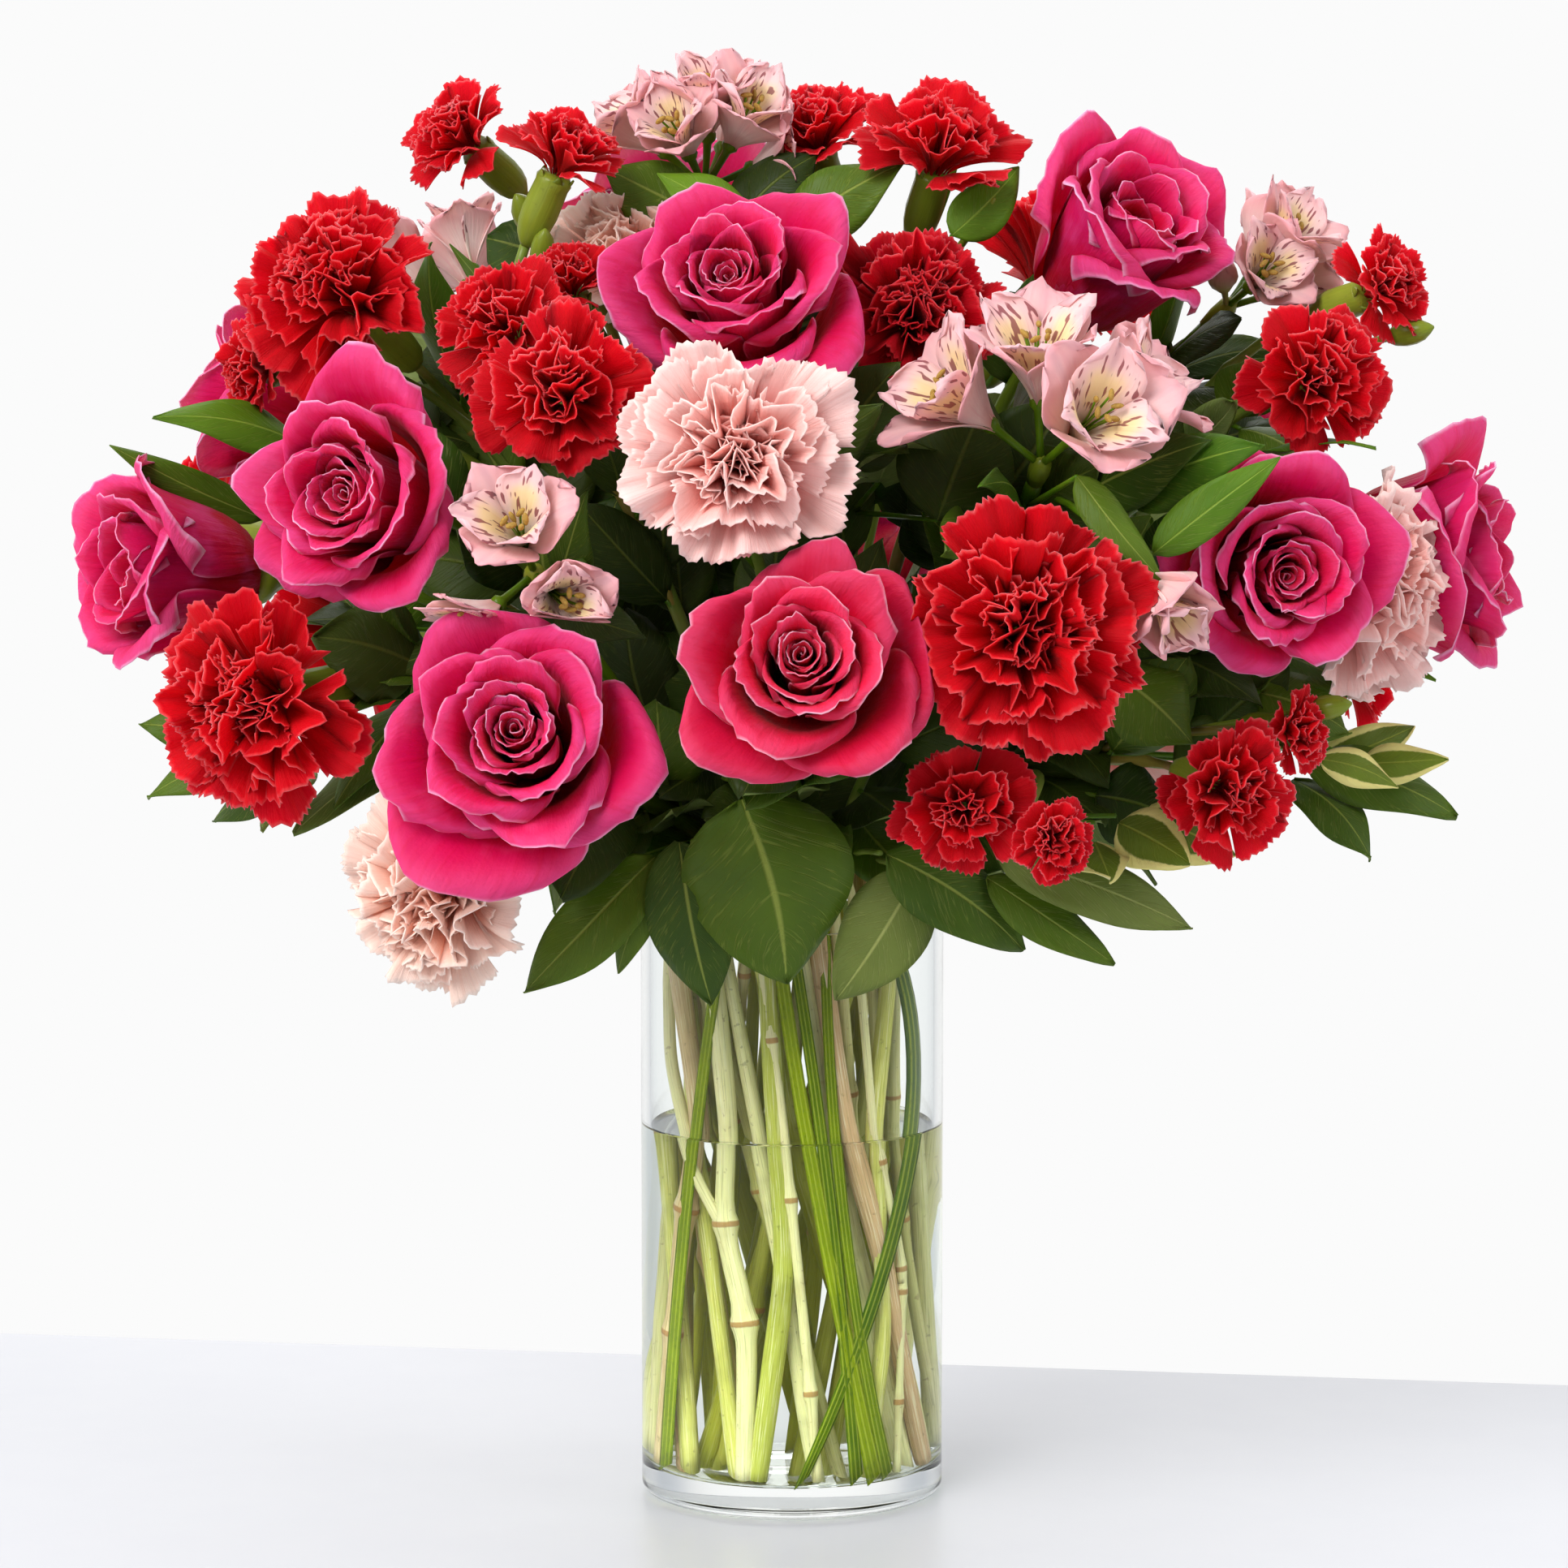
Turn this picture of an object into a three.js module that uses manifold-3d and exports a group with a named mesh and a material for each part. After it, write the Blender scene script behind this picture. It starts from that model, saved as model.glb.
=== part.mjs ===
// Carnations, roses and alstroemeria in a clear glass cylinder vase.
// Millimetres, +Z up, -Y is the front. The origin is the middle of the vase's underside.
//
// Every flower head sits on the end of a stem, and leaves grow from the stems' sides. The heads press
// against each other as in a tight bouquet: each keeps to its own cell, bounded by a plane towards every
// neighbour that it nears.

import * as THREE from "three";
import { mergeVertices } from "three/addons/utils/BufferGeometryUtils.js";
import Module from "manifold-3d";

const wasm = await Module();
wasm.setup();

// ---------------------------------------------------------------- driving dimensions

const vase = { outerRadius: 51, wall: 3.2, floor: 10, height: 196, heel: 3, sides: 36 };
const water = { level: 125, clear: 0.3, stemClear: 0.35, sides: 30 };
const seatGap = 0.3; // between a head and the stem end that carries it
const cellMargin = 0.6; // from a head to the plane between it and its neighbour
const pressFrom = 0.78; // share of the way to that plane where pressing starts
const budLength = 38; // a floret shorter than this is a closed bud
const leafThickness = 0.9;

const stemSides = 5;
const footRaise = 1.6; // of the middle of a slanting cut end above the vase's floor
const lowHeadShare = 0.35; // how much a low head counts as a wide-set one
const stemRadius = { rose: 3.5, carnation: 2.7, spray: 2.1, alstroemeria: 3.9 };
// The stems stand in rings, the widest-set heads in the outer one. Each turns about the vase by so many
// degrees from its rim point down to its foot, one ring the other way from the next, so that they cross.
const stemRings = [
  { count: 18, rim: 38, foot: 37, turn: 66, uneven: 0 },
  { count: 11, rim: 35.8, foot: 26.9, turn: -82, uneven: 4 },
  { count: 99, rim: 15, foot: 23.1, turn: 80, uneven: 5 },
];

const green = { stem: 0x6f9a3a, leaf: 0x3f6b2a };
const petal = { rose: 0xd8176b, red: 0xd01018, pink: 0xf6bfb4, alstroemeria: 0xe9b3bf };

// ---------------------------------------------------------------- where the heads are
// at: middle of the head. radius: of its widest petals. heading: degrees from the front, + to the right,
// that it faces. rise: degrees above level that it faces. on: the head whose stem it branches from.

const roses = [
  { at: [-199, -40, 314], radius: 41, heading: -60, rise: 4 },
  { at: [-133, -110, 342], radius: 43, heading: -28, rise: 10 },
  { at: [-84, -150, 270], radius: 46, heading: -8, rise: 14 },
  { at: [3, -165, 294], radius: 42, heading: 0, rise: 16 },
  { at: [-18, -85, 404], radius: 42, heading: -8, rise: 34 },
  { at: [104, -30, 417], radius: 43, heading: 38, rise: 40 },
  { at: [152, -100, 318], radius: 38, heading: 14, rise: 6 },
  { at: [209, -15, 318], radius: 41, heading: 78, rise: 4 },
  { at: [-173, 14, 371], radius: 38, heading: -104, rise: 16 },
  { at: [-100, 118, 352], radius: 42, heading: -146, rise: 20 },
  { at: [40, 158, 296], radius: 43, heading: 166, rise: 8 },
  { at: [150, 98, 338], radius: 41, heading: 124, rise: 14 },
  { at: [-42, 62, 424], radius: 41, heading: -158, rise: 52 },
];

const redCarnations = [
  { at: [-147, -50, 406], radius: 36, heading: -28, rise: 28 },
  { at: [-170, -105, 277], radius: 36, heading: -34, rise: -4 },
  { at: [71, -155, 304], radius: 40, heading: 12, rise: 8 },
  { at: [39, -70, 400], radius: 31, heading: 14, rise: 30 },
  { at: [-18, 152, 356], radius: 37, heading: -176, rise: 20 },
  { at: [-156, 98, 288], radius: 37, heading: -124, rise: 0 },
  { at: [92, 62, 412], radius: 36, heading: 128, rise: 48 },
];

const pinkCarnations = [
  { at: [-17, -155, 357], radius: 37, heading: 0, rise: 14 },
  { at: [-111, -120, 217], radius: 34, heading: -30, rise: -20 },
  { at: [-54, -18, 416], radius: 29, heading: -10, rise: 68 },
  { at: [184, -55, 311], radius: 35, heading: 62, rise: 0 },
  { at: [-62, 152, 252], radius: 35, heading: -160, rise: -8 },
  { at: [122, 128, 248], radius: 35, heading: 138, rise: -10 },
];

const sprayCarnations = [
  { at: [-72, -125, 376], radius: 29, heading: -6, rise: 16 },
  { at: [-92, -90, 396], radius: 24, heading: -26, rise: 28, on: "spray_carnation_01" },
  { at: [-71, -62, 410], radius: 17, heading: -4, rise: 54, on: "spray_carnation_01" },
  { at: [170, -55, 378], radius: 26, heading: 20, rise: 12 },
  { at: [195, -25, 407], radius: 21, heading: 48, rise: 18, on: "spray_carnation_04" },
  { at: [-109, -25, 457], radius: 22, heading: -45, rise: 35 },
  { at: [-73, -45, 451], radius: 22, heading: 60, rise: 62, on: "spray_carnation_06" },
  { at: [7, 0, 458], radius: 20, heading: -30, rise: 68, on: "alstroemeria_03" },
  { at: [49, -30, 453], radius: 25, heading: 24, rise: 66, on: "red_carnation_04" },
  { at: [137, -115, 250], radius: 24, heading: 22, rise: -6 },
  { at: [53, -150, 249], radius: 22, heading: 0, rise: -4, on: "spray_carnation_10" },
  { at: [80, -160, 240], radius: 14, heading: 12, rise: -4, on: "spray_carnation_10" },
  { at: [161, -95, 267], radius: 15, heading: 52, rise: 2, on: "spray_carnation_10" },
  { at: [-176, -40, 380], radius: 17, heading: -56, rise: -4, on: "red_carnation_01" },
  { at: [48, 122, 384], radius: 25, heading: 164, rise: 34, on: "rose_11" },
  { at: [196, 52, 276], radius: 25, heading: 104, rise: 0, on: "rose_08" },
  { at: [-204, 66, 326], radius: 25, heading: -108, rise: 8, on: "red_carnation_06" },
];

// florets: [heading, rise, length] of each, about the head's hub. A short one is a bud.
const alstroemeria = [
  { at: [82, -118, 366], radius: 49, heading: 8, rise: 30,
    florets: [[-58, 34, 52], [22, 22, 54], [-8, 62, 52], [76, 40, 50], [40, -34, 30]] },
  { at: [-80, -136, 322], radius: 29, heading: 2, rise: 10,
    florets: [[-24, 26, 42], [34, -14, 36], [-52, -34, 36]] },
  { at: [-29, -2, 457], radius: 33, heading: 0, rise: 76,
    florets: [[-76, 42, 44], [42, 48, 46], [150, 50, 42]] },
  { at: [158, 10, 412], radius: 33, heading: 60, rise: 42,
    florets: [[58, 46, 46], [-10, 30, 34], [140, 40, 44]] },
  { at: [96, 150, 306], radius: 30, heading: 148, rise: 8, on: "rose_11",
    florets: [[160, 30, 42], [110, 0, 40], [190, -16, 38]] },
  { at: [-118, 66, 408], radius: 34, heading: -130, rise: 40, on: "rose_10",
    florets: [[-100, 30, 44], [-160, 34, 44], [-130, 76, 40]] },
];

// on: the head whose stem bears the leaves. share: how far up that stem's first stretch above the rim.
// leaves: [start, tip, width]. Each leaf faces away from the vase's axis, so it shows its upper side.
const foliage = [
  { name: "collar_leaves_front_left", on: "rose_04", share: 0.6, at: [-30, -92, 224], radius: 46,
    leaves: [[[-16, -100, 246], [-2, -92, 186], 54], [[-36, -96, 232], [-26, -84, 178], 28],
      [[-44, -88, 226], [-86, -86, 182], 24], [[-42, -92, 222], [-56, -84, 188], 12]] },
  { name: "collar_leaves_front_right", on: "red_carnation_03", share: 0.5, at: [50, -94, 214], radius: 44,
    leaves: [[[40, -92, 222], [14, -88, 180], 28], [[30, -96, 228], [74, -88, 196], 26],
      [[62, -92, 220], [104, -92, 186], 17], [[66, -96, 228], [128, -88, 196], 21]] },
  { name: "variegated_sprig_right", on: "spray_carnation_10", share: 0.75, at: [112, -94, 232], radius: 32,
    leaves: [[[96, -98, 232], [100, -116, 222], 16], [[104, -96, 238], [126, -104, 226], 17],
      [[112, -92, 240], [142, -84, 226], 16]] },
  { name: "lance_leaves_right", on: "rose_08", share: 0.85, at: [180, -40, 240], radius: 40,
    leaves: [[[168, -42, 252], [218, -44, 234], 19], [[172, -40, 250], [206, -24, 262], 14],
      [[164, -42, 246], [188, -60, 222], 17]] },
  { name: "lance_leaves_left", on: "red_carnation_02", share: 0.85, at: [-176, -20, 244], radius: 40,
    leaves: [[[-160, -26, 246], [-172, -66, 232], 16], [[-166, -20, 250], [-214, -22, 238], 18],
      [[-160, -14, 246], [-196, 14, 226], 18]] },
  { name: "collar_leaves_back_left", on: "pink_carnation_05", share: 0.6, at: [-58, 92, 220], radius: 46,
    leaves: [[[-34, 84, 240], [-24, 88, 182], 44], [[-56, 82, 236], [-84, 94, 184], 36],
      [[-66, 74, 232], [-118, 70, 198], 26]] },
  { name: "collar_leaves_back_right", on: "pink_carnation_06", share: 0.6, at: [56, 92, 216], radius: 46,
    leaves: [[[30, 84, 238], [18, 88, 180], 40], [[48, 82, 236], [70, 92, 182], 38],
      [[66, 70, 232], [116, 62, 196], 24], [[80, 48, 232], [124, 18, 204], 20]] },
];

// ---------------------------------------------------------------- small helpers

const radians = THREE.MathUtils.degToRad;
const up = new THREE.Vector3(0, 0, 1);
const vector = (p) => new THREE.Vector3(...p);

// Unit vector for a heading from the front and a rise above level, both in degrees.
function facing(heading, rise) {
  const h = radians(heading);
  const r = radians(rise);
  return new THREE.Vector3(Math.sin(h) * Math.cos(r), -Math.cos(h) * Math.cos(r), Math.sin(r));
}

// A closed geometry as a manifold solid, with its shared vertices merged.
function solidOf(geometry) {
  const bare = geometry.clone();
  bare.deleteAttribute("normal");
  bare.deleteAttribute("uv");
  const merged = mergeVertices(bare, 1e-4);
  const mesh = new wasm.Mesh({
    numProp: 3,
    vertProperties: new Float32Array(merged.attributes.position.array),
    triVerts: new Uint32Array(merged.index.array),
  });
  return new wasm.Manifold(mesh);
}

// A manifold solid as a geometry; only its largest body is kept, so that no scrap is left loose.
function geometryOf(solid) {
  const bodies = solid.decompose();
  bodies.sort((a, b) => b.volume() - a.volume());
  const mesh = bodies[0].getMesh();
  const geometry = new THREE.BufferGeometry();
  geometry.setAttribute("position", new THREE.BufferAttribute(mesh.vertProperties, 3));
  geometry.setIndex(new THREE.BufferAttribute(mesh.triVerts, 1));
  return geometry;
}

// A profile of [radius, height] turned about +Z.
function turned(profile, sides) {
  const points = profile.map(([r, z]) => new THREE.Vector2(r, z));
  return new THREE.LatheGeometry(points, sides).rotateX(Math.PI / 2);
}

// Moves every ring of a turned geometry but those on the axis. shift(side, ring): [radius share, height].
function raise(geometry, rings, sides, shift) {
  const position = geometry.attributes.position;
  for (let i = 0; i < position.count; i++) {
    const ring = i % rings;
    const side = Math.floor(i / rings) % sides;
    if (Math.hypot(position.getX(i), position.getY(i)) < 1e-6) continue;
    const [share, lift] = shift(side, ring);
    position.setXYZ(i, position.getX(i) * share, position.getY(i) * share, position.getZ(i) + lift);
  }
  return geometry;
}

// ---------------------------------------------------------------- the heads' cells

const kinds = [
  ["rose", "rose", roses],
  ["red_carnation", "carnation", redCarnations],
  ["pink_carnation", "carnation", pinkCarnations],
  ["spray_carnation", "spray", sprayCarnations],
  ["alstroemeria", "alstroemeria", alstroemeria],
  ["foliage", "foliage", foliage],
];

const heads = kinds.flatMap(([name, kind, list]) =>
  list.map((head, i) => ({
    ...head,
    kind,
    label: head.name ?? `${name}_${String(i + 1).padStart(2, "0")}`,
    at: vector(head.at),
    face: facing(head.heading ?? 0, head.rise ?? 0),
  })));

// The planes that bound a head: the direction to each near neighbour and how far the head may reach that way.
function cellOf(head) {
  return heads
    .filter((other) => other !== head)
    .map((other) => {
      const toward = other.at.clone().sub(head.at);
      const apart = toward.length();
      const reach = (apart * apart + head.radius ** 2 - other.radius ** 2) / (2 * apart) - cellMargin;
      return { toward: toward.normalize(), reach };
    })
    .filter(({ reach }) => reach < head.radius * 1.4);
}

// Presses a point, given about the head's middle in world directions, back inside the head's cell.
function press(point, cell) {
  for (const { toward, reach } of cell) {
    const along = point.dot(toward);
    const start = reach * pressFrom;
    if (along <= start) continue;
    const room = reach - start;
    point.addScaledVector(toward, start + room * (1 - Math.exp((start - along) / room)) - along);
  }
  return point;
}

// Presses a head's geometry, drawn about its middle with +Z the way it faces.
function pressed(geometry, head) {
  const turn = new THREE.Quaternion().setFromUnitVectors(up, head.face);
  const back = turn.clone().invert();
  const cell = cellOf(head);
  const position = geometry.attributes.position;
  const point = new THREE.Vector3();
  for (let i = 0; i < position.count; i++) {
    point.fromBufferAttribute(position, i).applyQuaternion(turn);
    press(point, cell).applyQuaternion(back);
    position.setXYZ(i, point.x, point.y, point.z);
  }
  return geometry;
}

// ---------------------------------------------------------------- flower heads

// How far each kind's seat lies behind the head's middle, as a share of its radius.
const seatShare = { rose: 0.62, carnation: 0.5, spray: 0.55, alstroemeria: 0.62 };

// Layers of petals: each rim has lobes, and each layer's lobes stand in the gaps of the one outside it.
const roseProfile = [
  [0, -0.62], [0.78, -0.26], [1.0, 0.12], [0.68, -0.04], [0.71, 0.36],
  [0.42, 0.12], [0.43, 0.5], [0.21, 0.24], [0.18, 0.56], [0, 0.36],
];
const roseRims = { 2: [0.07, -0.1, 0], 4: [0.06, 0.05, 1], 6: [0.07, 0.05, 0], 8: [0.08, 0.03, 1] };

function roseHead(radius) {
  const petals = 5;
  const sides = petals * 3;
  const profile = roseProfile.map(([r, z]) => [r * radius, z * radius]);
  return raise(turned(profile, sides), profile.length, sides, (side, ring) => {
    const rim = roseRims[ring];
    if (!rim) return [1, 0];
    const [spread, lift, shifted] = rim;
    const lobe = Math.cos((side / sides) * petals * 2 * Math.PI + shifted * Math.PI);
    return [1 + spread * lobe, lift * lobe * radius];
  });
}

const carnationProfile = [
  [0, -0.5], [0.64, -0.28], [1.0, 0], [0.62, 0.06], [0.75, 0.36], [0.36, 0.22], [0.38, 0.54], [0, 0.32],
];
const sprayProfile = [[0, -0.55], [1.0, 0], [0.52, 0.08], [0.6, 0.5], [0, 0.24]];

// A carnation's rims are crumpled: every side of a ring stands in or out of the ring's own circle.
function ruffledHead(radius, unitProfile, sides) {
  const profile = unitProfile.map(([r, z]) => [r * radius, z * radius]);
  return raise(turned(profile, sides), profile.length, sides, (side, ring) => {
    const crease = Math.sin(2.4 * side + 1.9 * ring) + (side % 2 ? 0.8 : -0.8);
    const share = unitProfile[ring][1] === 0 ? 0.055 : 0.075;
    return [1 + share * crease, 0.05 * radius * Math.cos(2.9 * side + ring)];
  });
}

// An alstroemeria floret on its pedicel, along +Z: a funnel whose rim runs out into six tepals.
function floret(length) {
  const sides = 12;
  const profile = [[0, 0], [0.035, 0], [0.05, 0.4], [0.4, 0.9], [0, 0.6]];
  const rim = 3;
  const scaled = profile.map(([r, z]) => [r * length, z * length]);
  return raise(turned(scaled, sides), scaled.length, sides, (side, ring) => {
    if (ring !== rim) return [1, 0];
    return side % 2 ? [0.58, -0.14 * length] : [1.06, 0.07 * length];
  });
}

function bud(length) {
  const profile = [[0, 0], [0.05, 0], [0.06, 0.4], [0.17, 0.7], [0, 1]];
  return turned(profile.map(([r, z]) => [r * length, z * length]), 6);
}

// An umbel: florets on pedicels that meet in a hub on the stem's end.
function umbel(head) {
  const back = new THREE.Quaternion().setFromUnitVectors(up, head.face).invert();
  const hub = new THREE.Vector3(0, 0, -seatShare.alstroemeria * head.radius);
  const hubRadius = 4;
  const knob = turned([[0, 0], [hubRadius, 0], [hubRadius * 1.1, 5], [0, 8]], 5);
  let whole = solidOf(knob.translate(0, 0, hub.z));
  for (const [heading, rise, length] of head.florets) {
    const way = facing(heading, rise).applyQuaternion(back);
    const shape = length < budLength ? bud(length) : floret(length);
    shape.applyQuaternion(new THREE.Quaternion().setFromUnitVectors(up, way));
    shape.translate(...way.multiplyScalar(hubRadius / 2).add(hub).toArray());
    shape.translate(0, 0, hubRadius * 0.85);
    whole = whole.add(solidOf(pressed(shape, head)));
  }
  return geometryOf(whole);
}

// ---------------------------------------------------------------- leaves

// A thin closed blade over rows of middle-surface points, split into triangles alike on both faces.
function blade(rows, thickness) {
  const across = rows[0].length;
  const normalAt = (j, i) => {
    const a = rows[j][Math.max(i - 1, 0)];
    const b = rows[j][Math.min(i + 1, across - 1)];
    const c = rows[Math.max(j - 1, 0)][i];
    const d = rows[Math.min(j + 1, rows.length - 1)][i];
    return b.clone().sub(a).cross(d.clone().sub(c)).normalize();
  };
  const points = [];
  for (const side of [1, -1])
    rows.forEach((row, j) => row.forEach((p, i) =>
      points.push(p.clone().addScaledVector(normalAt(j, i), (side * thickness) / 2))));
  const half = rows.length * across;
  const index = [];
  const quad = (a, b, c, d) => index.push(a, b, c, a, c, d);
  const id = (j, i) => j * across + i;
  for (let j = 0; j + 1 < rows.length; j++)
    for (let i = 0; i + 1 < across; i++) {
      const [a, b, c, d] = [id(j, i), id(j, i + 1), id(j + 1, i + 1), id(j + 1, i)];
      quad(a, b, c, d);
      index.push(a + half, c + half, b + half, a + half, d + half, c + half);
    }
  const edge = (a, b) => quad(b, a, a + half, b + half);
  for (let i = 0; i + 1 < across; i++) {
    edge(id(0, i), id(0, i + 1));
    edge(id(rows.length - 1, i + 1), id(rows.length - 1, i));
  }
  for (let j = 0; j + 1 < rows.length; j++) {
    edge(id(j + 1, 0), id(j, 0));
    edge(id(j, across - 1), id(j + 1, across - 1));
  }
  const geometry = new THREE.BufferGeometry().setFromPoints(points);
  geometry.setIndex(index);
  return geometry;
}

const leafOutline = [0.86, 0.94, 0.1]; // half widths at two stations and the tip, as a share
const stalkWidth = 3;

// Rows of points over a leaf, from the joint that its stalk grows from, through its start, to its tip. It is
// arched along its length and folded a little along its rib.
function leafRows(joint, start, tip, width) {
  const along = tip.clone().sub(start);
  const centre = start.clone().add(tip).multiplyScalar(0.5);
  const outward = new THREE.Vector3(centre.x, centre.y, 40).normalize();
  const across = along.clone().cross(outward).normalize();
  const above = across.clone().cross(along).normalize();
  const fold = 0.2; // how far a rim hangs below the rib, as a share of the half width
  const row = (rib, half) => [-1, 0, 1].map((side) =>
    rib.clone().addScaledVector(across, side * half).addScaledVector(above, -Math.abs(side) * half * fold));
  const stations = leafOutline.map((share, j) => {
    const v = (j + 1) / leafOutline.length;
    const arch = along.length() * 0.3 * v * (1 - v);
    const rib = start.clone().addScaledVector(along, v).addScaledVector(above, arch);
    return row(rib, (share * width) / 2);
  });
  return [row(joint, stalkWidth / 2), row(start, stalkWidth / 2), ...stations];
}

// A leafy top: leaves whose stalks meet in a knob on the stem's end.
function leafyTop(head) {
  const cell = cellOf(head);
  const knob = turned([[0, 0], [3.2, 0], [3, 6], [0, 6]], 5);
  knob.applyQuaternion(new THREE.Quaternion().setFromUnitVectors(up, head.face));
  knob.translate(...head.seat.toArray());
  let whole = solidOf(knob);
  const middle = head.seat.clone().addScaledVector(head.face, 3);
  for (const [startPoint, tip, width] of head.leaves) {
    const start = vector(startPoint);
    const joint = start.clone().sub(middle).setLength(2).add(middle);
    const rows = leafRows(joint, start, vector(tip), width);
    for (const point of rows.slice(1).flat()) press(point.sub(head.at), cell).add(head.at);
    whole = whole.add(solidOf(blade(rows, leafThickness)));
  }
  return geometryOf(whole);
}

// ---------------------------------------------------------------- stems

// A closed tube through the points, with a radius at each. Its rings turn as little as they can along it.
function sweep(points, radii, sides) {
  const geometry = new THREE.CylinderGeometry(1, 1, 1, sides, points.length - 1);
  const rings = points.map((point, i) => {
    const before = points[Math.max(i - 1, 0)];
    const after = points[Math.min(i + 1, points.length - 1)];
    return { point, along: after.clone().sub(before).normalize() };
  });
  let across = new THREE.Vector3(1, 0.3, 0);
  for (const ring of rings) {
    across = across.clone().addScaledVector(ring.along, -across.dot(ring.along)).normalize();
    ring.z = across;
    ring.x = ring.along.clone().cross(across);
  }
  const position = geometry.attributes.position;
  for (let i = 0; i < position.count; i++) {
    const step = Math.round((position.getY(i) + 0.5) * (points.length - 1));
    const place = rings[step].point.clone();
    place.addScaledVector(rings[step].x, position.getX(i) * radii[step]);
    place.addScaledVector(rings[step].z, position.getZ(i) * radii[step]);
    position.setXYZ(i, place.x, place.y, place.z);
  }
  return geometry;
}

// Gives every stem that stands in the vase its rim point and its foot. In each ring they keep the order of
// their heads round the vase, evenly spaced, so that few of them cross above the rim.
function standStems() {
  const bearing = (head) => Math.atan2(head.at.y, head.at.x);
  const wide = (head) => Math.hypot(head.at.x, head.at.y) - lowHeadShare * head.at.z;
  const polar = (r, a, z) => new THREE.Vector3(r * Math.cos(a), r * Math.sin(a), z);
  const standing = heads.filter((head) => head.on === undefined).sort((a, b) => wide(b) - wide(a));
  for (const { count, rim, foot, turn, uneven } of stemRings) {
    const ring = standing.splice(0, count).sort((a, b) => bearing(a) - bearing(b));
    const step = (2 * Math.PI) / ring.length;
    const offset = ring.reduce((sum, head, i) => sum + bearing(head) - i * step, 0) / ring.length;
    ring.forEach((head, i) => {
      const angle = offset + i * step;
      const swing = radians(turn + uneven * Math.sin(2.1 * i + foot));
      head.rim = polar(rim, angle, vase.height);
      head.foot = polar(foot + 1.5 * Math.cos(3.3 * i), angle + swing, vase.floor + footRaise);
    });
  }
}

// The swelling under a head, from the stem's end up to the petals: [height below them, radius] of each ring.
const calyxRings = {
  rose: () => [[14, 3.4], [5, 6.6], [0, 10]],
  carnation: (r) => [[0.9 * r, 2.6], [0.72 * r, 5.6], [0, 6.6]],
  spray: (r) => [[1.15 * r, 2], [0.95 * r, 4], [0, 4.8]],
  alstroemeria: () => [[7, 3.2], [0, 3.6]],
};

// Points along a stem from the rim, or from its fork, to its calyx: few, as each costs a ring of triangles.
const upperPoints = (head) => head.curve.getSpacedPoints(head.on === undefined ? 3 : 2);

// The stem above the rim, or from its fork, up to the head's calyx.
function stemCurve(head) {
  const [depth] = calyxRings[head.kind](head.radius)[0];
  const end = head.seat.clone().addScaledVector(head.face, -seatGap - depth);
  if (head.on === undefined) {
    const leave = head.rim.clone().sub(head.foot).normalize();
    const reach = end.distanceTo(head.rim);
    return new THREE.CubicBezierCurve3(head.rim, head.rim.clone().addScaledVector(leave, reach * 0.4),
      end.clone().addScaledVector(head.face, -reach * 0.38), end);
  }
  const [, near, far] = upperPoints(heads.find(({ label }) => label === head.on));
  const fork = near.clone().lerp(far, 0.45);
  const leave = far.clone().sub(near).normalize();
  const reach = end.distanceTo(fork);
  return new THREE.CubicBezierCurve3(fork, fork.clone().addScaledVector(leave, reach * 0.35),
    end.clone().addScaledVector(head.face, -reach * 0.35), end);
}

// ---------------------------------------------------------------- the whole bouquet

const bouquet = new THREE.Group();

function addMesh(name, geometry, colour, roughness, more = {}) {
  const material = new THREE.MeshStandardMaterial({ color: colour, roughness, metalness: 0, ...more });
  const mesh = new THREE.Mesh(geometry, material);
  mesh.name = name;
  bouquet.add(mesh);
  return mesh;
}

const flowers = heads.filter((h) => h.kind !== "foliage");
for (const head of flowers)
  head.seat = head.at.clone().addScaledVector(head.face, -seatShare[head.kind] * head.radius);
standStems();
for (const head of flowers.filter((h) => h.on === undefined)) head.curve = stemCurve(head);
for (const head of flowers.filter((h) => h.on !== undefined)) head.curve = stemCurve(head);
for (const head of heads.filter((h) => h.kind === "foliage")) {
  // Leaves grow straight from the side of their bearer's stem.
  const bearer = heads.find(({ label }) => label === head.on);
  const [near, far] = upperPoints(bearer);
  const stem = far.clone().sub(near);
  const root = near.clone().addScaledVector(stem, head.share);
  const out = head.at.clone().sub(root).projectOnPlane(stem.normalize()).normalize();
  head.face = out;
  head.seat = root.addScaledVector(out, stemRadius[bearer.kind] * 0.95 + seatGap);
}

function addFlowerHeads() {
  const shapes = {
    rose: (head) => roseHead(head.radius),
    carnation: (head) => ruffledHead(head.radius, carnationProfile, 14),
    spray: (head) => ruffledHead(head.radius, sprayProfile, 12),
  };
  const colourOf = (head) => {
    if (head.kind === "rose") return petal.rose;
    return head.label.startsWith("pink") ? petal.pink : petal.red;
  };
  for (const head of heads) {
    let mesh = null;
    if (head.kind in shapes) {
      mesh = addMesh(head.label, pressed(shapes[head.kind](head), head), colourOf(head), 0.6);
    } else if (head.kind === "alstroemeria") {
      mesh = addMesh(`${head.label}_umbel`, umbel(head), petal.alstroemeria, 0.6);
    }
    if (mesh) {
      mesh.position.copy(head.at);
      mesh.quaternion.setFromUnitVectors(up, head.face);
    } else {
      addMesh(head.label, leafyTop(head), green.leaf, 0.55);
    }
  }
}

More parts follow.
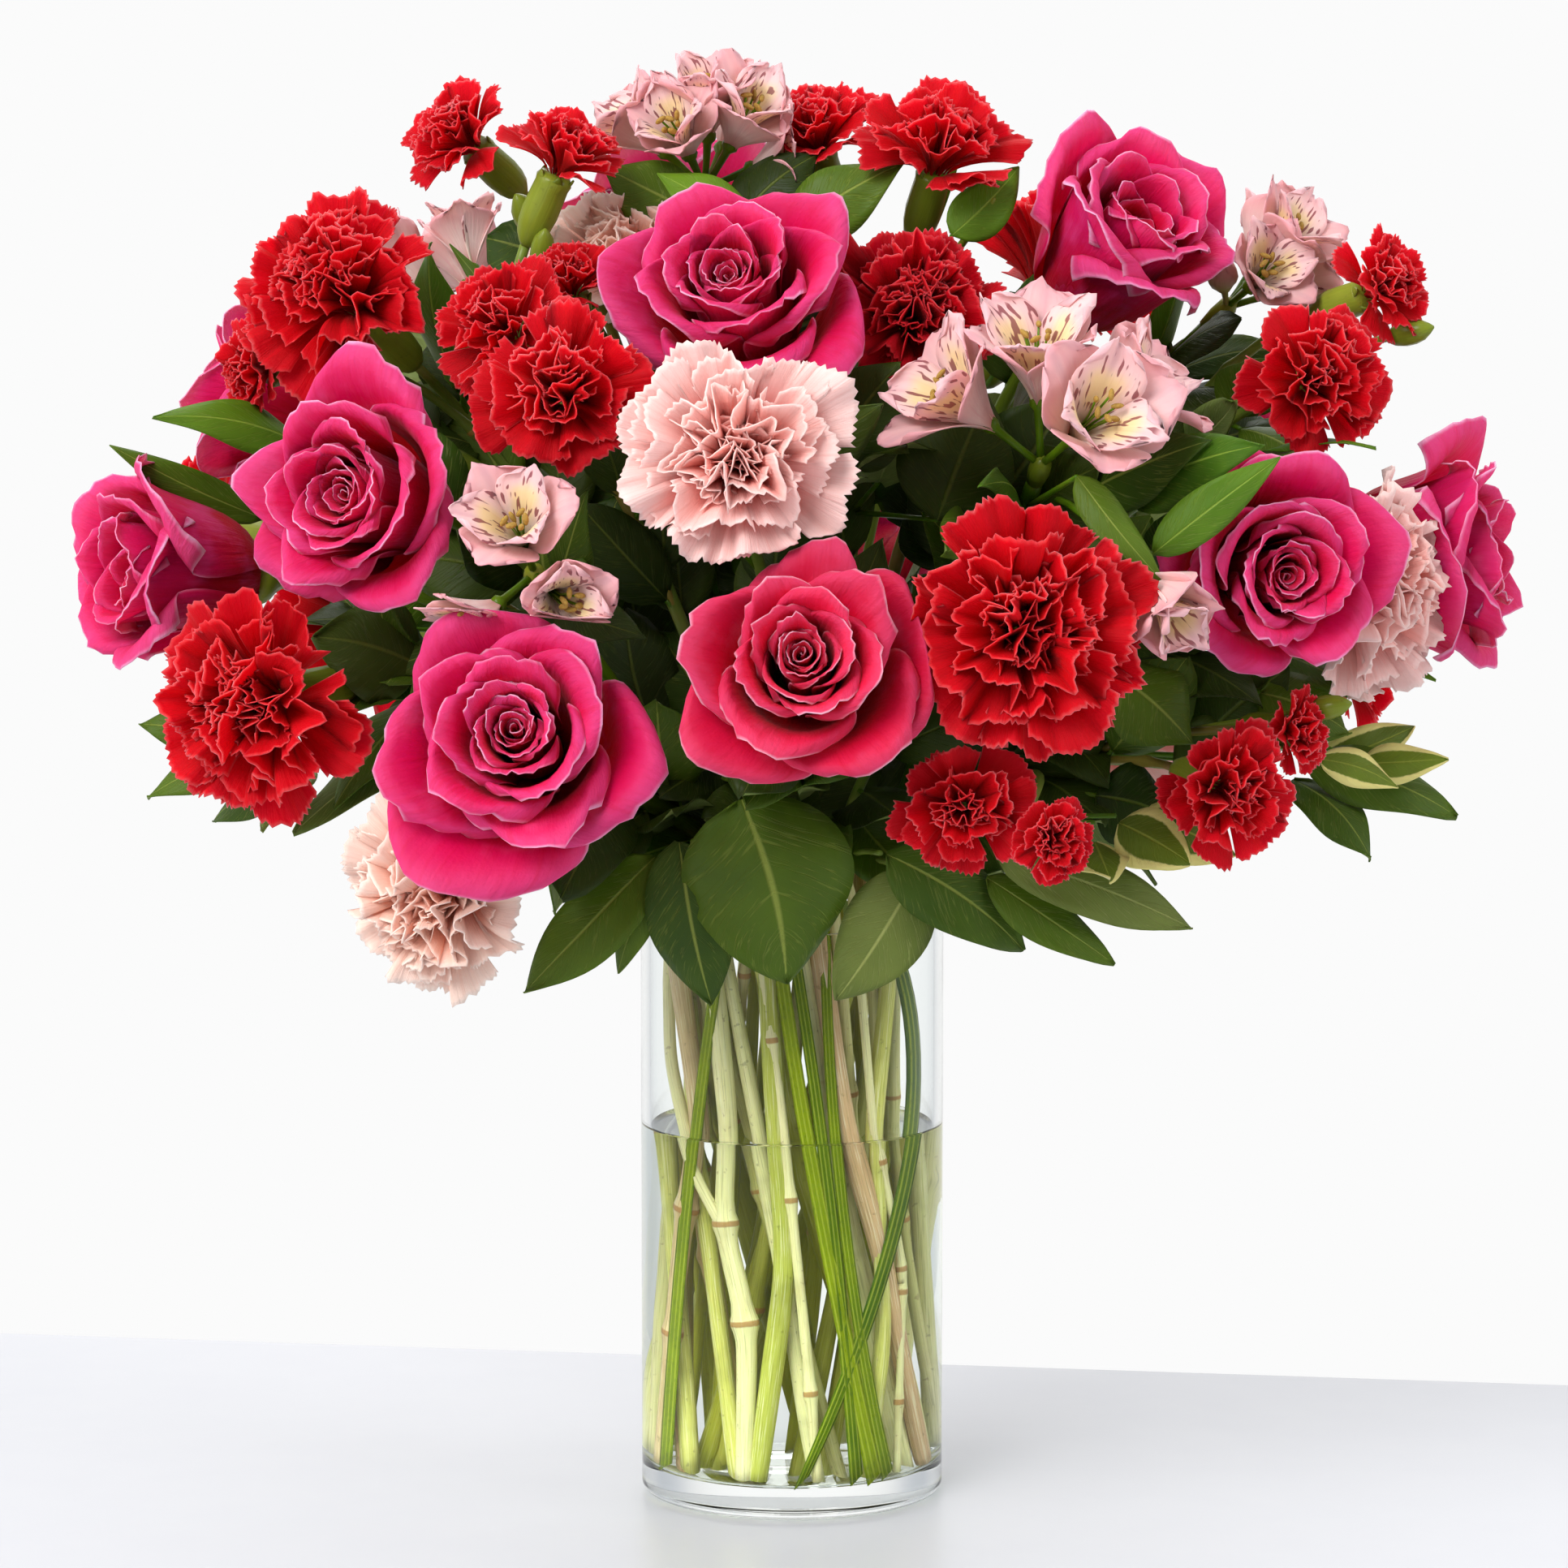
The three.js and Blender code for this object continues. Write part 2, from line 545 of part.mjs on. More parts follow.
function addStemsAndWater() {
  let stems = null;
  let stood = null; // the stems in the vase, a little fatter, as they are cut from the water
  const join = (whole, piece) => (whole ? whole.add(piece) : piece);
  for (const head of flowers) {
    const radius = stemRadius[head.kind];
    const points = upperPoints(head).slice(0, -1);
    const radii = points.map(() => radius * 0.9);
    for (const [depth, swell] of calyxRings[head.kind](head.radius)) {
      points.push(head.seat.clone().addScaledVector(head.face, -seatGap - depth));
      radii.push(swell);
    }
    if (head.on === undefined) {
      points.unshift(head.foot);
      radii.unshift(radius);
      radii[1] = radius;
      const below = head.foot.clone().lerp(head.rim, -0.04);
      const wide = radius + water.stemClear;
      stood = join(stood, solidOf(sweep([below, head.rim], [wide, wide], stemSides)));
    }
    stems = join(stems, solidOf(sweep(points, radii, stemSides)));
  }
  addMesh("stems", geometryOf(stems), green.stem, 0.5);

  const radius = vase.outerRadius - vase.wall - water.clear;
  const low = vase.floor + water.clear;
  const profile = [[0, low], [radius, low], [radius, water.level], [0, water.level]];
  const body = solidOf(turned(profile, water.sides));
  const clear = { transparent: true, opacity: 0.25 };
  addMesh("water", geometryOf(body.subtract(stood)), 0xeaf3f4, 0.05, clear);
}

function addVase() {
  const { outerRadius, wall, floor, height, heel, sides } = vase;
  const inner = outerRadius - wall;
  const profile = [[0, 0], [outerRadius - heel, 0], [outerRadius, heel], [outerRadius, height - 1],
    [outerRadius - 1, height], [inner + 1, height], [inner, height - 1], [inner, floor], [0, floor]];
  addMesh("glass_vase", turned(profile, sides), 0xf4f8f8, 0.03, { transparent: true, opacity: 0.3 });
}

addVase();
addStemsAndWater();
addFlowerHeads();

export default bouquet;
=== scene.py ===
import math

import bpy
import numpy as np
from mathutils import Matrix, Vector


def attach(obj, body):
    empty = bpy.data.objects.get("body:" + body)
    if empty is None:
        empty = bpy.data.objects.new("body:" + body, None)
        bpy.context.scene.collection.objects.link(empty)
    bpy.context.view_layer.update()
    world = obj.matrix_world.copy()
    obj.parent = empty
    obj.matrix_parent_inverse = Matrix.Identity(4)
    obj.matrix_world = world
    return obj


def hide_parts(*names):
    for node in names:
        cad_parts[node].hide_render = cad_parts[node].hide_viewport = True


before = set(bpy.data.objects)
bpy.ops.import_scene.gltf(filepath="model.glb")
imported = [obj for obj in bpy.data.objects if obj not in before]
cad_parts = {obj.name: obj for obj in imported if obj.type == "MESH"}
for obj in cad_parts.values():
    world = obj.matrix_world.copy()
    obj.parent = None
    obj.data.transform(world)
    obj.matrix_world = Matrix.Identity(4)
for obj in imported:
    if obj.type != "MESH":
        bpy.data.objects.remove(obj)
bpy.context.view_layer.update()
mm = 0.001
golden = math.radians(137.508)  # from each petal to the next, round a bloom

# camera, floor and lights

camera = {"place": (-0.0027, -1.8, 0.4322), "pitch": 6.085, "lens": 123.7, "sensor": 36}
bpy.ops.object.select_all(action="DESELECT")
bpy.ops.object.camera_add(location=camera["place"], rotation=(math.radians(90 - camera["pitch"]), 0, 0))
bpy.context.object.data.lens = camera["lens"]
bpy.context.object.data.sensor_width = camera["sensor"]
bpy.context.scene.camera = bpy.context.object
bpy.context.scene.view_settings.view_transform = "Standard"
print("camera is set")


def tint(red, green, blue):
    # a colour picked from the photo, 0 to 255, as the numbers that a shader takes
    share = [c / 255 for c in (red, green, blue)]
    return (*(c / 12.92 if c <= 0.04045 else ((c + 0.055) / 1.055) ** 2.4 for c in share), 1)


class Wire:
    # a node's output; arithmetic on it adds Math nodes
    def __init__(self, finish, socket):
        self.finish = finish
        self.socket = socket

    def math(self, operation, *values):
        return self.finish.node("Math", {"operation": operation}, dict(enumerate(values)))

    def clamped(self):
        return self.finish.node("Clamp", {}, {0: self})

    def __add__(self, other):
        return self.math("ADD", self, other)

    def __radd__(self, other):
        return self.math("ADD", other, self)

    def __sub__(self, other):
        return self.math("SUBTRACT", self, other)

    def __rsub__(self, other):
        return self.math("SUBTRACT", other, self)

    def __mul__(self, other):
        return self.math("MULTIPLY", self, other)

    def __rmul__(self, other):
        return self.math("MULTIPLY", other, self)

    def alone(self, operation):
        # an operation that takes nothing but this value
        return self.math(operation, self)


class Finish:
    # a material, or the studio's surroundings, and the nodes it is made of
    def __init__(self, name, world=None):
        self.material = world or bpy.data.materials.new(name)
        self.material.use_nodes = True
        self.tree = self.material.node_tree
        self.tree.nodes.clear()

    def node(self, kind, settings, sockets, output=0):
        node = self.tree.nodes.new("ShaderNode" + kind)
        for key, value in settings.items():
            if key == "stops":
                self.setStops(node.color_ramp, value)
            else:
                setattr(node, key, value)
        for key, value in sockets.items():
            if isinstance(value, Wire):
                self.tree.links.new(value.socket, node.inputs[key])
            else:
                node.inputs[key].default_value = value
        return Wire(self, node.outputs[output]) if node.outputs else None

    def setStops(self, ramp, stops):
        while len(ramp.elements) < len(stops):
            ramp.elements.new(0.5)
        for element, (place, colour) in zip(ramp.elements, stops):
            element.position = place
            element.color = colour

    def attribute(self, name):
        return self.node("Attribute", {"attribute_name": name}, {}, "Fac")

    def mapAxes(self):
        # across and along, from the piece's own UV map
        return self.split(self.node("UVMap", {"uv_map": "lie"}, {}))[:2]

    def sheetValues(self):
        # across, along, how far off the middle line, tone and place
        across, along = self.mapAxes()
        return across, along, (across - 0.5).alone("ABSOLUTE") * 2, self.attribute("tone"), self.place()

    def split(self, vector):
        apart = self.node("SeparateXYZ", {}, {0: vector})
        return [Wire(self, socket) for socket in apart.socket.node.outputs]

    def place(self):
        return self.node("TexCoord", {}, {}, "Object")

    def noise(self, vector, scale, detail=3, roughness=0.5):
        values = {"Vector": vector, "Scale": scale, "Detail": detail, "Roughness": roughness}
        return self.node("TexNoise", {}, values, "Fac")

    def grain(self, x, y, z, detail=3, roughness=0.5):
        # noise that is drawn out by how fast each of its three values runs
        return self.noise(self.node("CombineXYZ", {}, {0: x, 1: y, 2: z}), 1.0, detail, roughness)

    def mix(self, factor, first, second):
        return self.node("Mix", {"data_type": "RGBA"}, {0: factor, 6: first, 7: second}, 2)

    def step(self, value, low, high):
        # 0 below low, 1 above high, smooth between
        settings = {"interpolation_type": "SMOOTHSTEP"}
        return self.node("MapRange", settings, {0: value, 1: low, 2: high})

    def bump(self, height, strength, distance):
        return self.node("Bump", {}, {"Strength": strength, "Distance": distance, "Height": height})

    def surface(self, values):
        shader = self.node("BsdfPrincipled", {}, values)
        self.node("OutputMaterial", {}, {"Surface": shader})
        return self.material


def flesh(weight, radius, scale):
    # light that sinks in and comes out again: how much of it, how far for each colour, and the scale of that
    return {"Subsurface Weight": weight, "Subsurface Radius": radius, "Subsurface Scale": scale}


stage = {"edge": 0.203, "turn": -8.9, "half": 3.0, "low": -0.0002, "table": tint(209, 210, 214),
         "mottle": tint(206, 207, 212)}


def makeFloor():
    # a table whose far edge shows behind the vase
    bpy.ops.object.select_all(action="DESELECT")
    half = stage["half"]
    bpy.ops.mesh.primitive_plane_add(size=2 * half, location=(0, stage["edge"] - half, stage["low"]))
    floor = bpy.context.object
    floor.name = "floor"
    bpy.ops.object.transform_apply(location=True)
    bpy.ops.object.mode_set(mode="EDIT")
    bpy.ops.mesh.select_all(action="SELECT")
    bpy.ops.transform.rotate(value=-math.radians(stage["turn"]), orient_axis="Z", center_override=(0, stage["edge"], 0))
    bpy.ops.object.mode_set(mode="OBJECT")
    finish = Finish("pale_table")
    mottle = finish.noise(finish.place(), 30)
    colour = finish.mix(mottle, stage["table"], stage["mottle"])
    floor.data.materials.append(finish.surface({"Base Color": colour, "Roughness": 0.3 + 0.08 * mottle,
                                                "Normal": finish.bump(mottle, 0.02, 0.001)}))


def addLight(name, place, aim, size, power):
    bpy.ops.object.select_all(action="DESELECT")
    bpy.ops.object.light_add(type="AREA", location=place)
    lamp = bpy.context.object
    lamp.name = name
    lamp.rotation_euler = (Vector(aim) - Vector(place)).to_track_quat("-Z", "Y").to_euler()
    lamp.data.size = size
    lamp.data.energy = power


# the light from all round: its base, and for each side how much is added, and where on the way there that starts and
# is full; lampWay leads to a large soft lamp at the front left; blue: where the light turns from bluish to white
surround = {"base": 0.46, "behind": (0.505, 0.58, 0.975), "above": (0.36, 0.3, 0.9), "lamp": (2.6, 0.84, 0.95),
            "front": (-0.14, 0.3, 0.8), "side": (0.3, 0.55, 0.9), "lampWay": (-0.62, -0.62, 0.48),
            "blue": (0.55, 0.9)}
lamps = (
    {"name": "key_light", "place": (-0.9, -1.5, 1.5), "aim": (0, 0, 0.3), "size": 1.0, "power": 26},
    {"name": "side_light", "place": (1.5, -0.7, 1.0), "aim": (0, 0, 0.3), "size": 1.0, "power": 8},
    {"name": "back_light", "place": (0.1, 0.9, 1.2), "aim": (0, 0.1, 0), "size": 0.8, "power": 6},
)
bounces = 20  # light goes through many walls of glass and water


def makeSurround():
    # white studio: lit backdrop, sides and ceiling, and a darker front, so that the glass mirrors little
    world = bpy.data.worlds.new("studio")
    bpy.context.scene.world = world
    world.use_nodes = True
    finish = Finish("studio", world)
    way = finish.node("TexCoord", {}, {}, "Generated")
    aside, depth, rise = finish.split(way)
    toLamp = finish.node("VectorMath", {"operation": "DOT_PRODUCT"}, {0: way, 1: surround["lampWay"]}, "Value")
    ways = {"behind": depth, "above": rise, "lamp": toLamp, "front": -1 * depth, "side": aside.alone("ABSOLUTE")}
    power = surround["base"]
    for side, value in ways.items():
        added, start, full = surround[side]
        power = power + added * finish.step(value, start, full)
    colour = finish.mix(finish.step(power, *surround["blue"]), tint(232, 238, 247), tint(255, 255, 255))
    light = finish.node("Background", {}, {"Color": colour, "Strength": power})
    finish.node("OutputWorld", {}, {"Surface": light})


makeSurround()
bpy.context.scene.cycles.max_bounces = bounces
bpy.context.scene.cycles.transmission_bounces = bounces
makeFloor()
for lamp in lamps:
    addLight(**lamp)
print("floor and lights are made")

# where the heads are: at, middle in mm; radius; heading from the front and rise above level in degrees that it
# faces; spin, a turn about its own axis; cup, how closed it is; on, the head whose stem it branches from


def headTable(keys, rows):
    # a dictionary for each head from its row; what only some heads have stands last in the row, by name
    table = {}
    for name, row in rows.items():
        table[name] = dict(zip(keys, row))
        for more in row[len(keys):]:
            table[name].update(more)
    return table


roses = headTable(("at", "radius", "heading", "rise", "spin", "cup"), {
    "rose_01": ((-199, -40, 314), 41, -60, 4, 20, 0.9),
    "rose_02": ((-133, -110, 342), 43, -28, 10, 75, 0.45),
    "rose_03": ((-84, -150, 270), 46, -8, 14, 130, 0.15),
    "rose_04": ((3, -165, 294), 42, 0, 16, 250, 0.1, {"warm": True}),
    "rose_05": ((-18, -85, 404), 42, -8, 34, 200, 0.35),
    "rose_06": ((104, -30, 417), 43, 38, 40, 310, 0.9),
    "rose_07": ((152, -100, 318), 38, 14, 6, 40, 0.4, {"spread": 1.07}),
    "rose_08": ((209, -15, 318), 41, 78, 4, 160, 0.6, {"spread": 1.1}),
    "rose_09": ((-173, 14, 371), 38, -104, 16, 15, 0.4),
    "rose_10": ((-100, 118, 352), 42, -146, 20, 90, 0.3),
    "rose_11": ((40, 158, 296), 43, 166, 8, 220, 0.2),
    "rose_12": ((150, 98, 338), 41, 124, 14, 300, 0.4, {"warm": True}),
    "rose_13": ((-42, 62, 424), 41, -158, 52, 145, 0.3),
})
redCarnations = headTable(("at", "radius", "heading", "rise", "spin"), {
    "red_carnation_01": ((-147, -50, 406), 36, -28, 28, 0),
    "red_carnation_02": ((-170, -105, 277), 36, -34, -4, 60, {"spread": 1.08}),
    "red_carnation_03": ((71, -155, 304), 40, 12, 8, 130, {"spread": 1.05}),
    "red_carnation_04": ((39, -70, 400), 31, 14, 30, 210),
    "red_carnation_05": ((-18, 152, 356), 37, -176, 20, 300),
    "red_carnation_06": ((-156, 98, 288), 37, -124, 0, 20),
    "red_carnation_07": ((92, 62, 412), 36, 128, 48, 95),
})
pinkCarnations = headTable(("at", "radius", "heading", "rise", "spin"), {
    "pink_carnation_01": ((-17, -155, 357), 37, 0, 14, 30),
    "pink_carnation_02": ((-111, -120, 217), 34, -30, -20, 100),
    "pink_carnation_03": ((-54, -18, 416), 29, -10, 42, 180, {"spread": 1.12}),
    "pink_carnation_04": ((184, -55, 311), 35, 52, 0, 250, {"spread": 1.2}),
    "pink_carnation_05": ((-62, 152, 252), 35, -160, -8, 320),
    "pink_carnation_06": ((122, 128, 248), 35, 138, -10, 70),
})
sprayCarnations = headTable(("at", "radius", "heading", "rise"), {
    "spray_carnation_01": ((-72, -125, 376), 29, -6, 16),
    "spray_carnation_02": ((-92, -90, 396), 24, -26, 28, {"on": "spray_carnation_01"}),
    "spray_carnation_03": ((-71, -62, 410), 17, -4, 54, {"on": "spray_carnation_01"}),
    "spray_carnation_04": ((170, -55, 378), 26, 20, 12),
    "spray_carnation_05": ((195, -25, 407), 21, 48, 18, {"on": "spray_carnation_04"}),
    "spray_carnation_06": ((-109, -25, 457), 22, -45, 35),
    "spray_carnation_07": ((-73, -45, 451), 22, 60, 62, {"on": "spray_carnation_06"}),
    "spray_carnation_08": ((7, 0, 458), 20, -30, 60, {"spread": 1.25, "on": "alstroemeria_03"}),
    "spray_carnation_09": ((49, -30, 453), 25, 24, 56, {"spread": 1.2, "on": "red_carnation_04"}),
    "spray_carnation_10": ((137, -115, 250), 24, 22, -6),
    "spray_carnation_11": ((53, -150, 249), 22, 0, -4, {"on": "spray_carnation_10"}),
    "spray_carnation_12": ((80, -160, 240), 14, 12, -4, {"on": "spray_carnation_10"}),
    "spray_carnation_13": ((161, -95, 267), 15, 52, 2, {"on": "spray_carnation_10"}),
    "spray_carnation_14": ((-176, -40, 380), 17, -56, -4, {"on": "red_carnation_01"}),
    "spray_carnation_15": ((48, 122, 384), 25, 164, 34, {"on": "rose_11"}),
    "spray_carnation_16": ((196, 52, 276), 25, 104, 0, {"on": "rose_08"}),
    "spray_carnation_17": ((-204, 66, 326), 25, -108, 8, {"on": "red_carnation_06"}),
})
# florets: heading, rise and length of each, and how far its stalk is longer; a short one is a bud
umbels = headTable(("at", "radius", "heading", "rise", "florets"), {
    "alstroemeria_01": ((82, -118, 366), 49, 8, 30, (
        (-58, 34, 56), (22, 22, 60), (-8, 62, 56), (76, 40, 54), (36, -34, 53, 33))),
    "alstroemeria_02": ((-80, -136, 322), 29, 2, 10, (
        (-8, 30, 48), (18, -12, 45), (-46, -30, 42))),
    "alstroemeria_03": ((-29, -2, 457), 33, 0, 76, (
        (-76, 42, 44), (42, 48, 46), (150, 50, 42), (-22, 40, 42), (72, 22, 42), (10, 70, 44))),
    "alstroemeria_04": ((158, 10, 412), 33, 60, 42, (
        (58, 46, 46), (-10, 30, 34), (140, 40, 44), (24, 24, 42), (88, 16, 40))),
    "alstroemeria_05": ((96, 150, 306), 30, 148, 8, (
        (160, 30, 42), (110, 0, 40), (190, -16, 38)), {"on": "rose_11"}),
    "alstroemeria_06": ((-118, 66, 408), 34, -130, 40, (
        (-100, 30, 44), (-160, 34, 44), (-130, 76, 40)), {"on": "rose_10"}),
})
# on: the head whose stem bears them; share: how far up that stem's first stretch above the rim.
# leaves: start, tip, width, and look
foliage = headTable(("on", "share", "at", "radius", "leaves"), {
    "collar_leaves_front_left": ("rose_04", 0.6, (-30, -92, 224), 46, (
        ((-16, -100, 246), (-2, -92, 186), 54, "broad"), ((-36, -96, 232), (-26, -84, 178), 28, "broad"),
        ((-44, -88, 226), (-86, -86, 182), 24, "broad"), ((-42, -92, 222), (-56, -84, 188), 12, "broad"))),
    "collar_leaves_front_right": ("red_carnation_03", 0.5, (50, -94, 214), 44, (
        ((40, -92, 222), (14, -88, 180), 28, "pale"), ((30, -96, 228), (74, -88, 196), 26, "broad"),
        ((62, -92, 220), (103, -92, 192), 17, "broad"), ((66, -96, 228), (128, -88, 203), 21, "pale"))),
    "variegated_sprig_right": ("spray_carnation_10", 0.75, (112, -94, 232), 32, (
        ((96, -98, 232), (100, -116, 222), 20, "edged"), ((104, -96, 238), (126, -104, 226), 22, "edged"),
        ((112, -92, 240), (142, -84, 226), 20, "edged"))),
    "lance_leaves_right": ("rose_08", 0.85, (180, -40, 240), 40, (
        ((168, -42, 252), (218, -44, 234), 22, "broad"), ((172, -40, 250), (206, -24, 262), 15, "edged"),
        ((164, -42, 246), (188, -60, 222), 20, "broad"))),
    "lance_leaves_left": ("red_carnation_02", 0.85, (-176, -20, 244), 40, (
        ((-160, -26, 246), (-172, -66, 232), 16, "pale"), ((-166, -20, 250), (-214, -22, 238), 18, "broad"),
        ((-160, -14, 246), (-196, 14, 226), 18, "broad"))),
    "collar_leaves_back_left": ("pink_carnation_05", 0.6, (-58, 92, 220), 46, (
        ((-34, 84, 240), (-24, 88, 182), 44, "broad"), ((-56, 82, 236), (-84, 94, 184), 36, "broad"),
        ((-66, 74, 232), (-118, 70, 198), 26, "pale"))),
    "collar_leaves_back_right": ("pink_carnation_06", 0.6, (56, 92, 216), 46, (
        ((30, 84, 238), (18, 88, 180), 40, "broad"), ((48, 82, 236), (70, 92, 182), 38, "pale"),
        ((66, 70, 232), (116, 62, 196), 24, "broad"), ((80, 48, 232), (124, 18, 204), 20, "broad"))),
})

seatShare = {"rose": 0.62, "carnation": 0.5, "spray": 0.55, "alstroemeria": 0.62}  # seat behind the middle
# petals end margin mm before the plane between two heads, so a margin below 0 lets them pass it; they give way from a
# share of the way there on; a plane further off than near times the radius doesn't press
pressing = {"margin": -2.0, "from": 0.84, "near": 1.4}
heads = {}
for kind, group in (("rose", roses), ("carnation", redCarnations), ("carnation", pinkCarnations),
                    ("spray", sprayCarnations), ("alstroemeria", umbels), ("foliage", foliage)):
    for name, head in group.items():
        heads[name] = {**head, "kind": kind, "at": np.array(head["at"], float)}


def facing(heading, rise):
    h, r = math.radians(heading), math.radians(rise)
    return np.array((math.sin(h) * math.cos(r), -math.cos(h) * math.cos(r), math.sin(r)))


def turnTo(way):
    # the shortest turn that brings +Z to a direction
    return np.array(Vector((0, 0, 1)).rotation_difference(Vector(way)).to_matrix())


def unit(vector):
    return vector / np.linalg.norm(vector, axis=-1, keepdims=True)


def cellOf(name):
    # directions to the near neighbours and how far the head may reach each way
    head = heads[name]
    cell = []
    for other in heads.values():
        if other is head:
            continue
        toward = other["at"] - head["at"]
        apart = np.linalg.norm(toward)
        reach = (apart**2 + head["radius"] ** 2 - other["radius"] ** 2) / (2 * apart) - pressing["margin"]
        if reach < head["radius"] * pressing["near"]:
            cell.append((toward / apart, reach))
    return cell


def pressIn(points, cell):
    # keeps points, given about the head's middle, inside its cell
    for toward, reach in cell:
        along = points @ toward
        start = reach * pressing["from"]
        over = np.maximum(along - start, 0)
        room = reach - start
        points = points + (room * (1 - np.exp(-over / room)) - over)[..., None] * toward
    return points


for head in heads.values():
    if head["kind"] != "foliage":
        head["face"] = facing(head["heading"], head["rise"])
        head["seat"] = head["at"] - head["face"] * seatShare[head["kind"]] * head["radius"]

# sheets: petals and leaves start as a flat grid


def makeBlank(columns, rows, crowd=1.0):
    # a flat grid from -1 to 1 across and 0 to 1 along, that petals and leaves are shaped from
    bpy.ops.object.select_all(action="DESELECT")
    bpy.ops.mesh.primitive_grid_add(x_subdivisions=columns, y_subdivisions=rows, size=2)
    blank = bpy.context.object
    flat = np.array([v.co[:] for v in blank.data.vertices])
    faces = np.array([p.vertices[:] for p in blank.data.polygons])
    bpy.data.objects.remove(blank)
    along = 1 - (1 - (flat[:, 1] + 1) / 2) ** crowd  # rows crowd towards the rim
    return {"across": flat[:, 0], "along": along, "faces": faces, "columns": columns}


def sheetPart(blank, points, tones, slot=0):
    # points: one set of the blank's points for each sheet, in metres
    return {"blank": blank, "points": np.asarray(points), "tones": np.asarray(tones), "slot": slot}


def makeMesh(name, points, faces, layers, finishes, slots, lie):
    mesh = bpy.data.meshes.new(name)
    mesh.from_pydata(points.tolist(), [], faces)
    piece = bpy.data.objects.new(name, mesh)
    bpy.context.scene.collection.objects.link(piece)
    for finish in finishes:
        mesh.materials.append(finish)
    mesh.polygons.foreach_set("material_index", slots)
    for layer, values in layers.items():
        mesh.attributes.new(layer, "FLOAT", "POINT").data.foreach_set("value", np.asarray(values, np.float32))
    loopPoints = np.empty(len(mesh.loops), int)
    mesh.loops.foreach_get("vertex_index", loopPoints)
    mesh.uv_layers.new(name="lie").uv.foreach_set("vector", lie[loopPoints].astype(np.float32).ravel())
    mesh.shade_smooth()
    return piece


def makeSheets(name, parts, finishes, thickness, backs=0):
    # closed thin sheets, all in one mesh; backs, how far on in the finishes that of the other side comes
    points, faces, tones, slots, lie = [], [], [], [], []
    start = 0
    for part in parts:
        blank, placed = part["blank"], part["points"]
        count, size = placed.shape[:2]
        firsts = start + np.arange(count) * size
        faces.append((blank["faces"][None] + firsts[:, None, None]).reshape(-1, 4))
        slots.append(np.full(len(faces[-1]), part["slot"]))
        points.append(placed.reshape(-1, 3))
        tones.append(np.repeat(part["tones"], size))
        lie.append(np.tile(np.stack((blank["across"] / 2 + 0.5, blank["along"]), 1), (count, 1)))
        start += count * size
    piece = makeMesh(name, np.concatenate(points), np.concatenate(faces).tolist(), {"tone": np.concatenate(tones)},
                     finishes, np.concatenate(slots), np.concatenate(lie))
    bpy.ops.object.select_all(action="DESELECT")
    bpy.context.view_layer.objects.active = piece
    piece.select_set(True)
    wall = piece.modifiers.new("wall", "SOLIDIFY")
    wall.thickness = thickness * mm
    wall.offset = 0
    wall.material_offset = backs
    bpy.ops.object.modifier_apply(modifier=wall.name)
    return piece


def joinPieces(pieces, name):
    bpy.ops.object.select_all(action="DESELECT")
    for piece in pieces:
        piece.select_set(True)
    bpy.context.view_layer.objects.active = pieces[0]
    bpy.ops.object.join()
    pieces[0].name = name
    return pieces[0]


def settle(piece, slot, *nodes):
    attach(piece, "root")
    if nodes:
        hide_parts(*nodes)


def curveAt(t, *controls):
    # a Bezier curve through broadcast control values
    degree = len(controls) - 1
    return sum(math.comb(degree, i) * t**i * (1 - t) ** (degree - i) * c for i, c in enumerate(controls))


# petal finishes

# by kind of petal: its painted shade at the foot, core, middle, pale part and rim
petalColours = {
    "roseFront": ((180, 0, 12), (200, 0, 30), (212, 4, 72), (230, 62, 122), (250, 164, 200)),
    "roseBack": ((178, 0, 28), (198, 2, 54), (212, 14, 88), (230, 70, 138), (250, 170, 202)),
    "warmFront": ((174, 0, 12), (198, 0, 24), (216, 10, 54), (224, 60, 100), (248, 164, 184)),
    "warmBack": ((174, 0, 24), (190, 2, 42), (208, 18, 76), (224, 70, 118), (248, 170, 196)),
    "red": ((164, 0, 2), (182, 0, 6), (198, 0, 10), (210, 4, 20), (234, 74, 78)),
    "darkRed": ((128, 0, 4), (152, 0, 8), (174, 0, 14), (190, 4, 22), (214, 56, 60)),
    "pink": ((238, 92, 76), (246, 154, 140), (252, 194, 186), (254, 212, 205), (254, 222, 212)),
    "cream": ((242, 132, 100), (247, 178, 152), (252, 208, 190), (254, 222, 206), (255, 236, 222)),
}


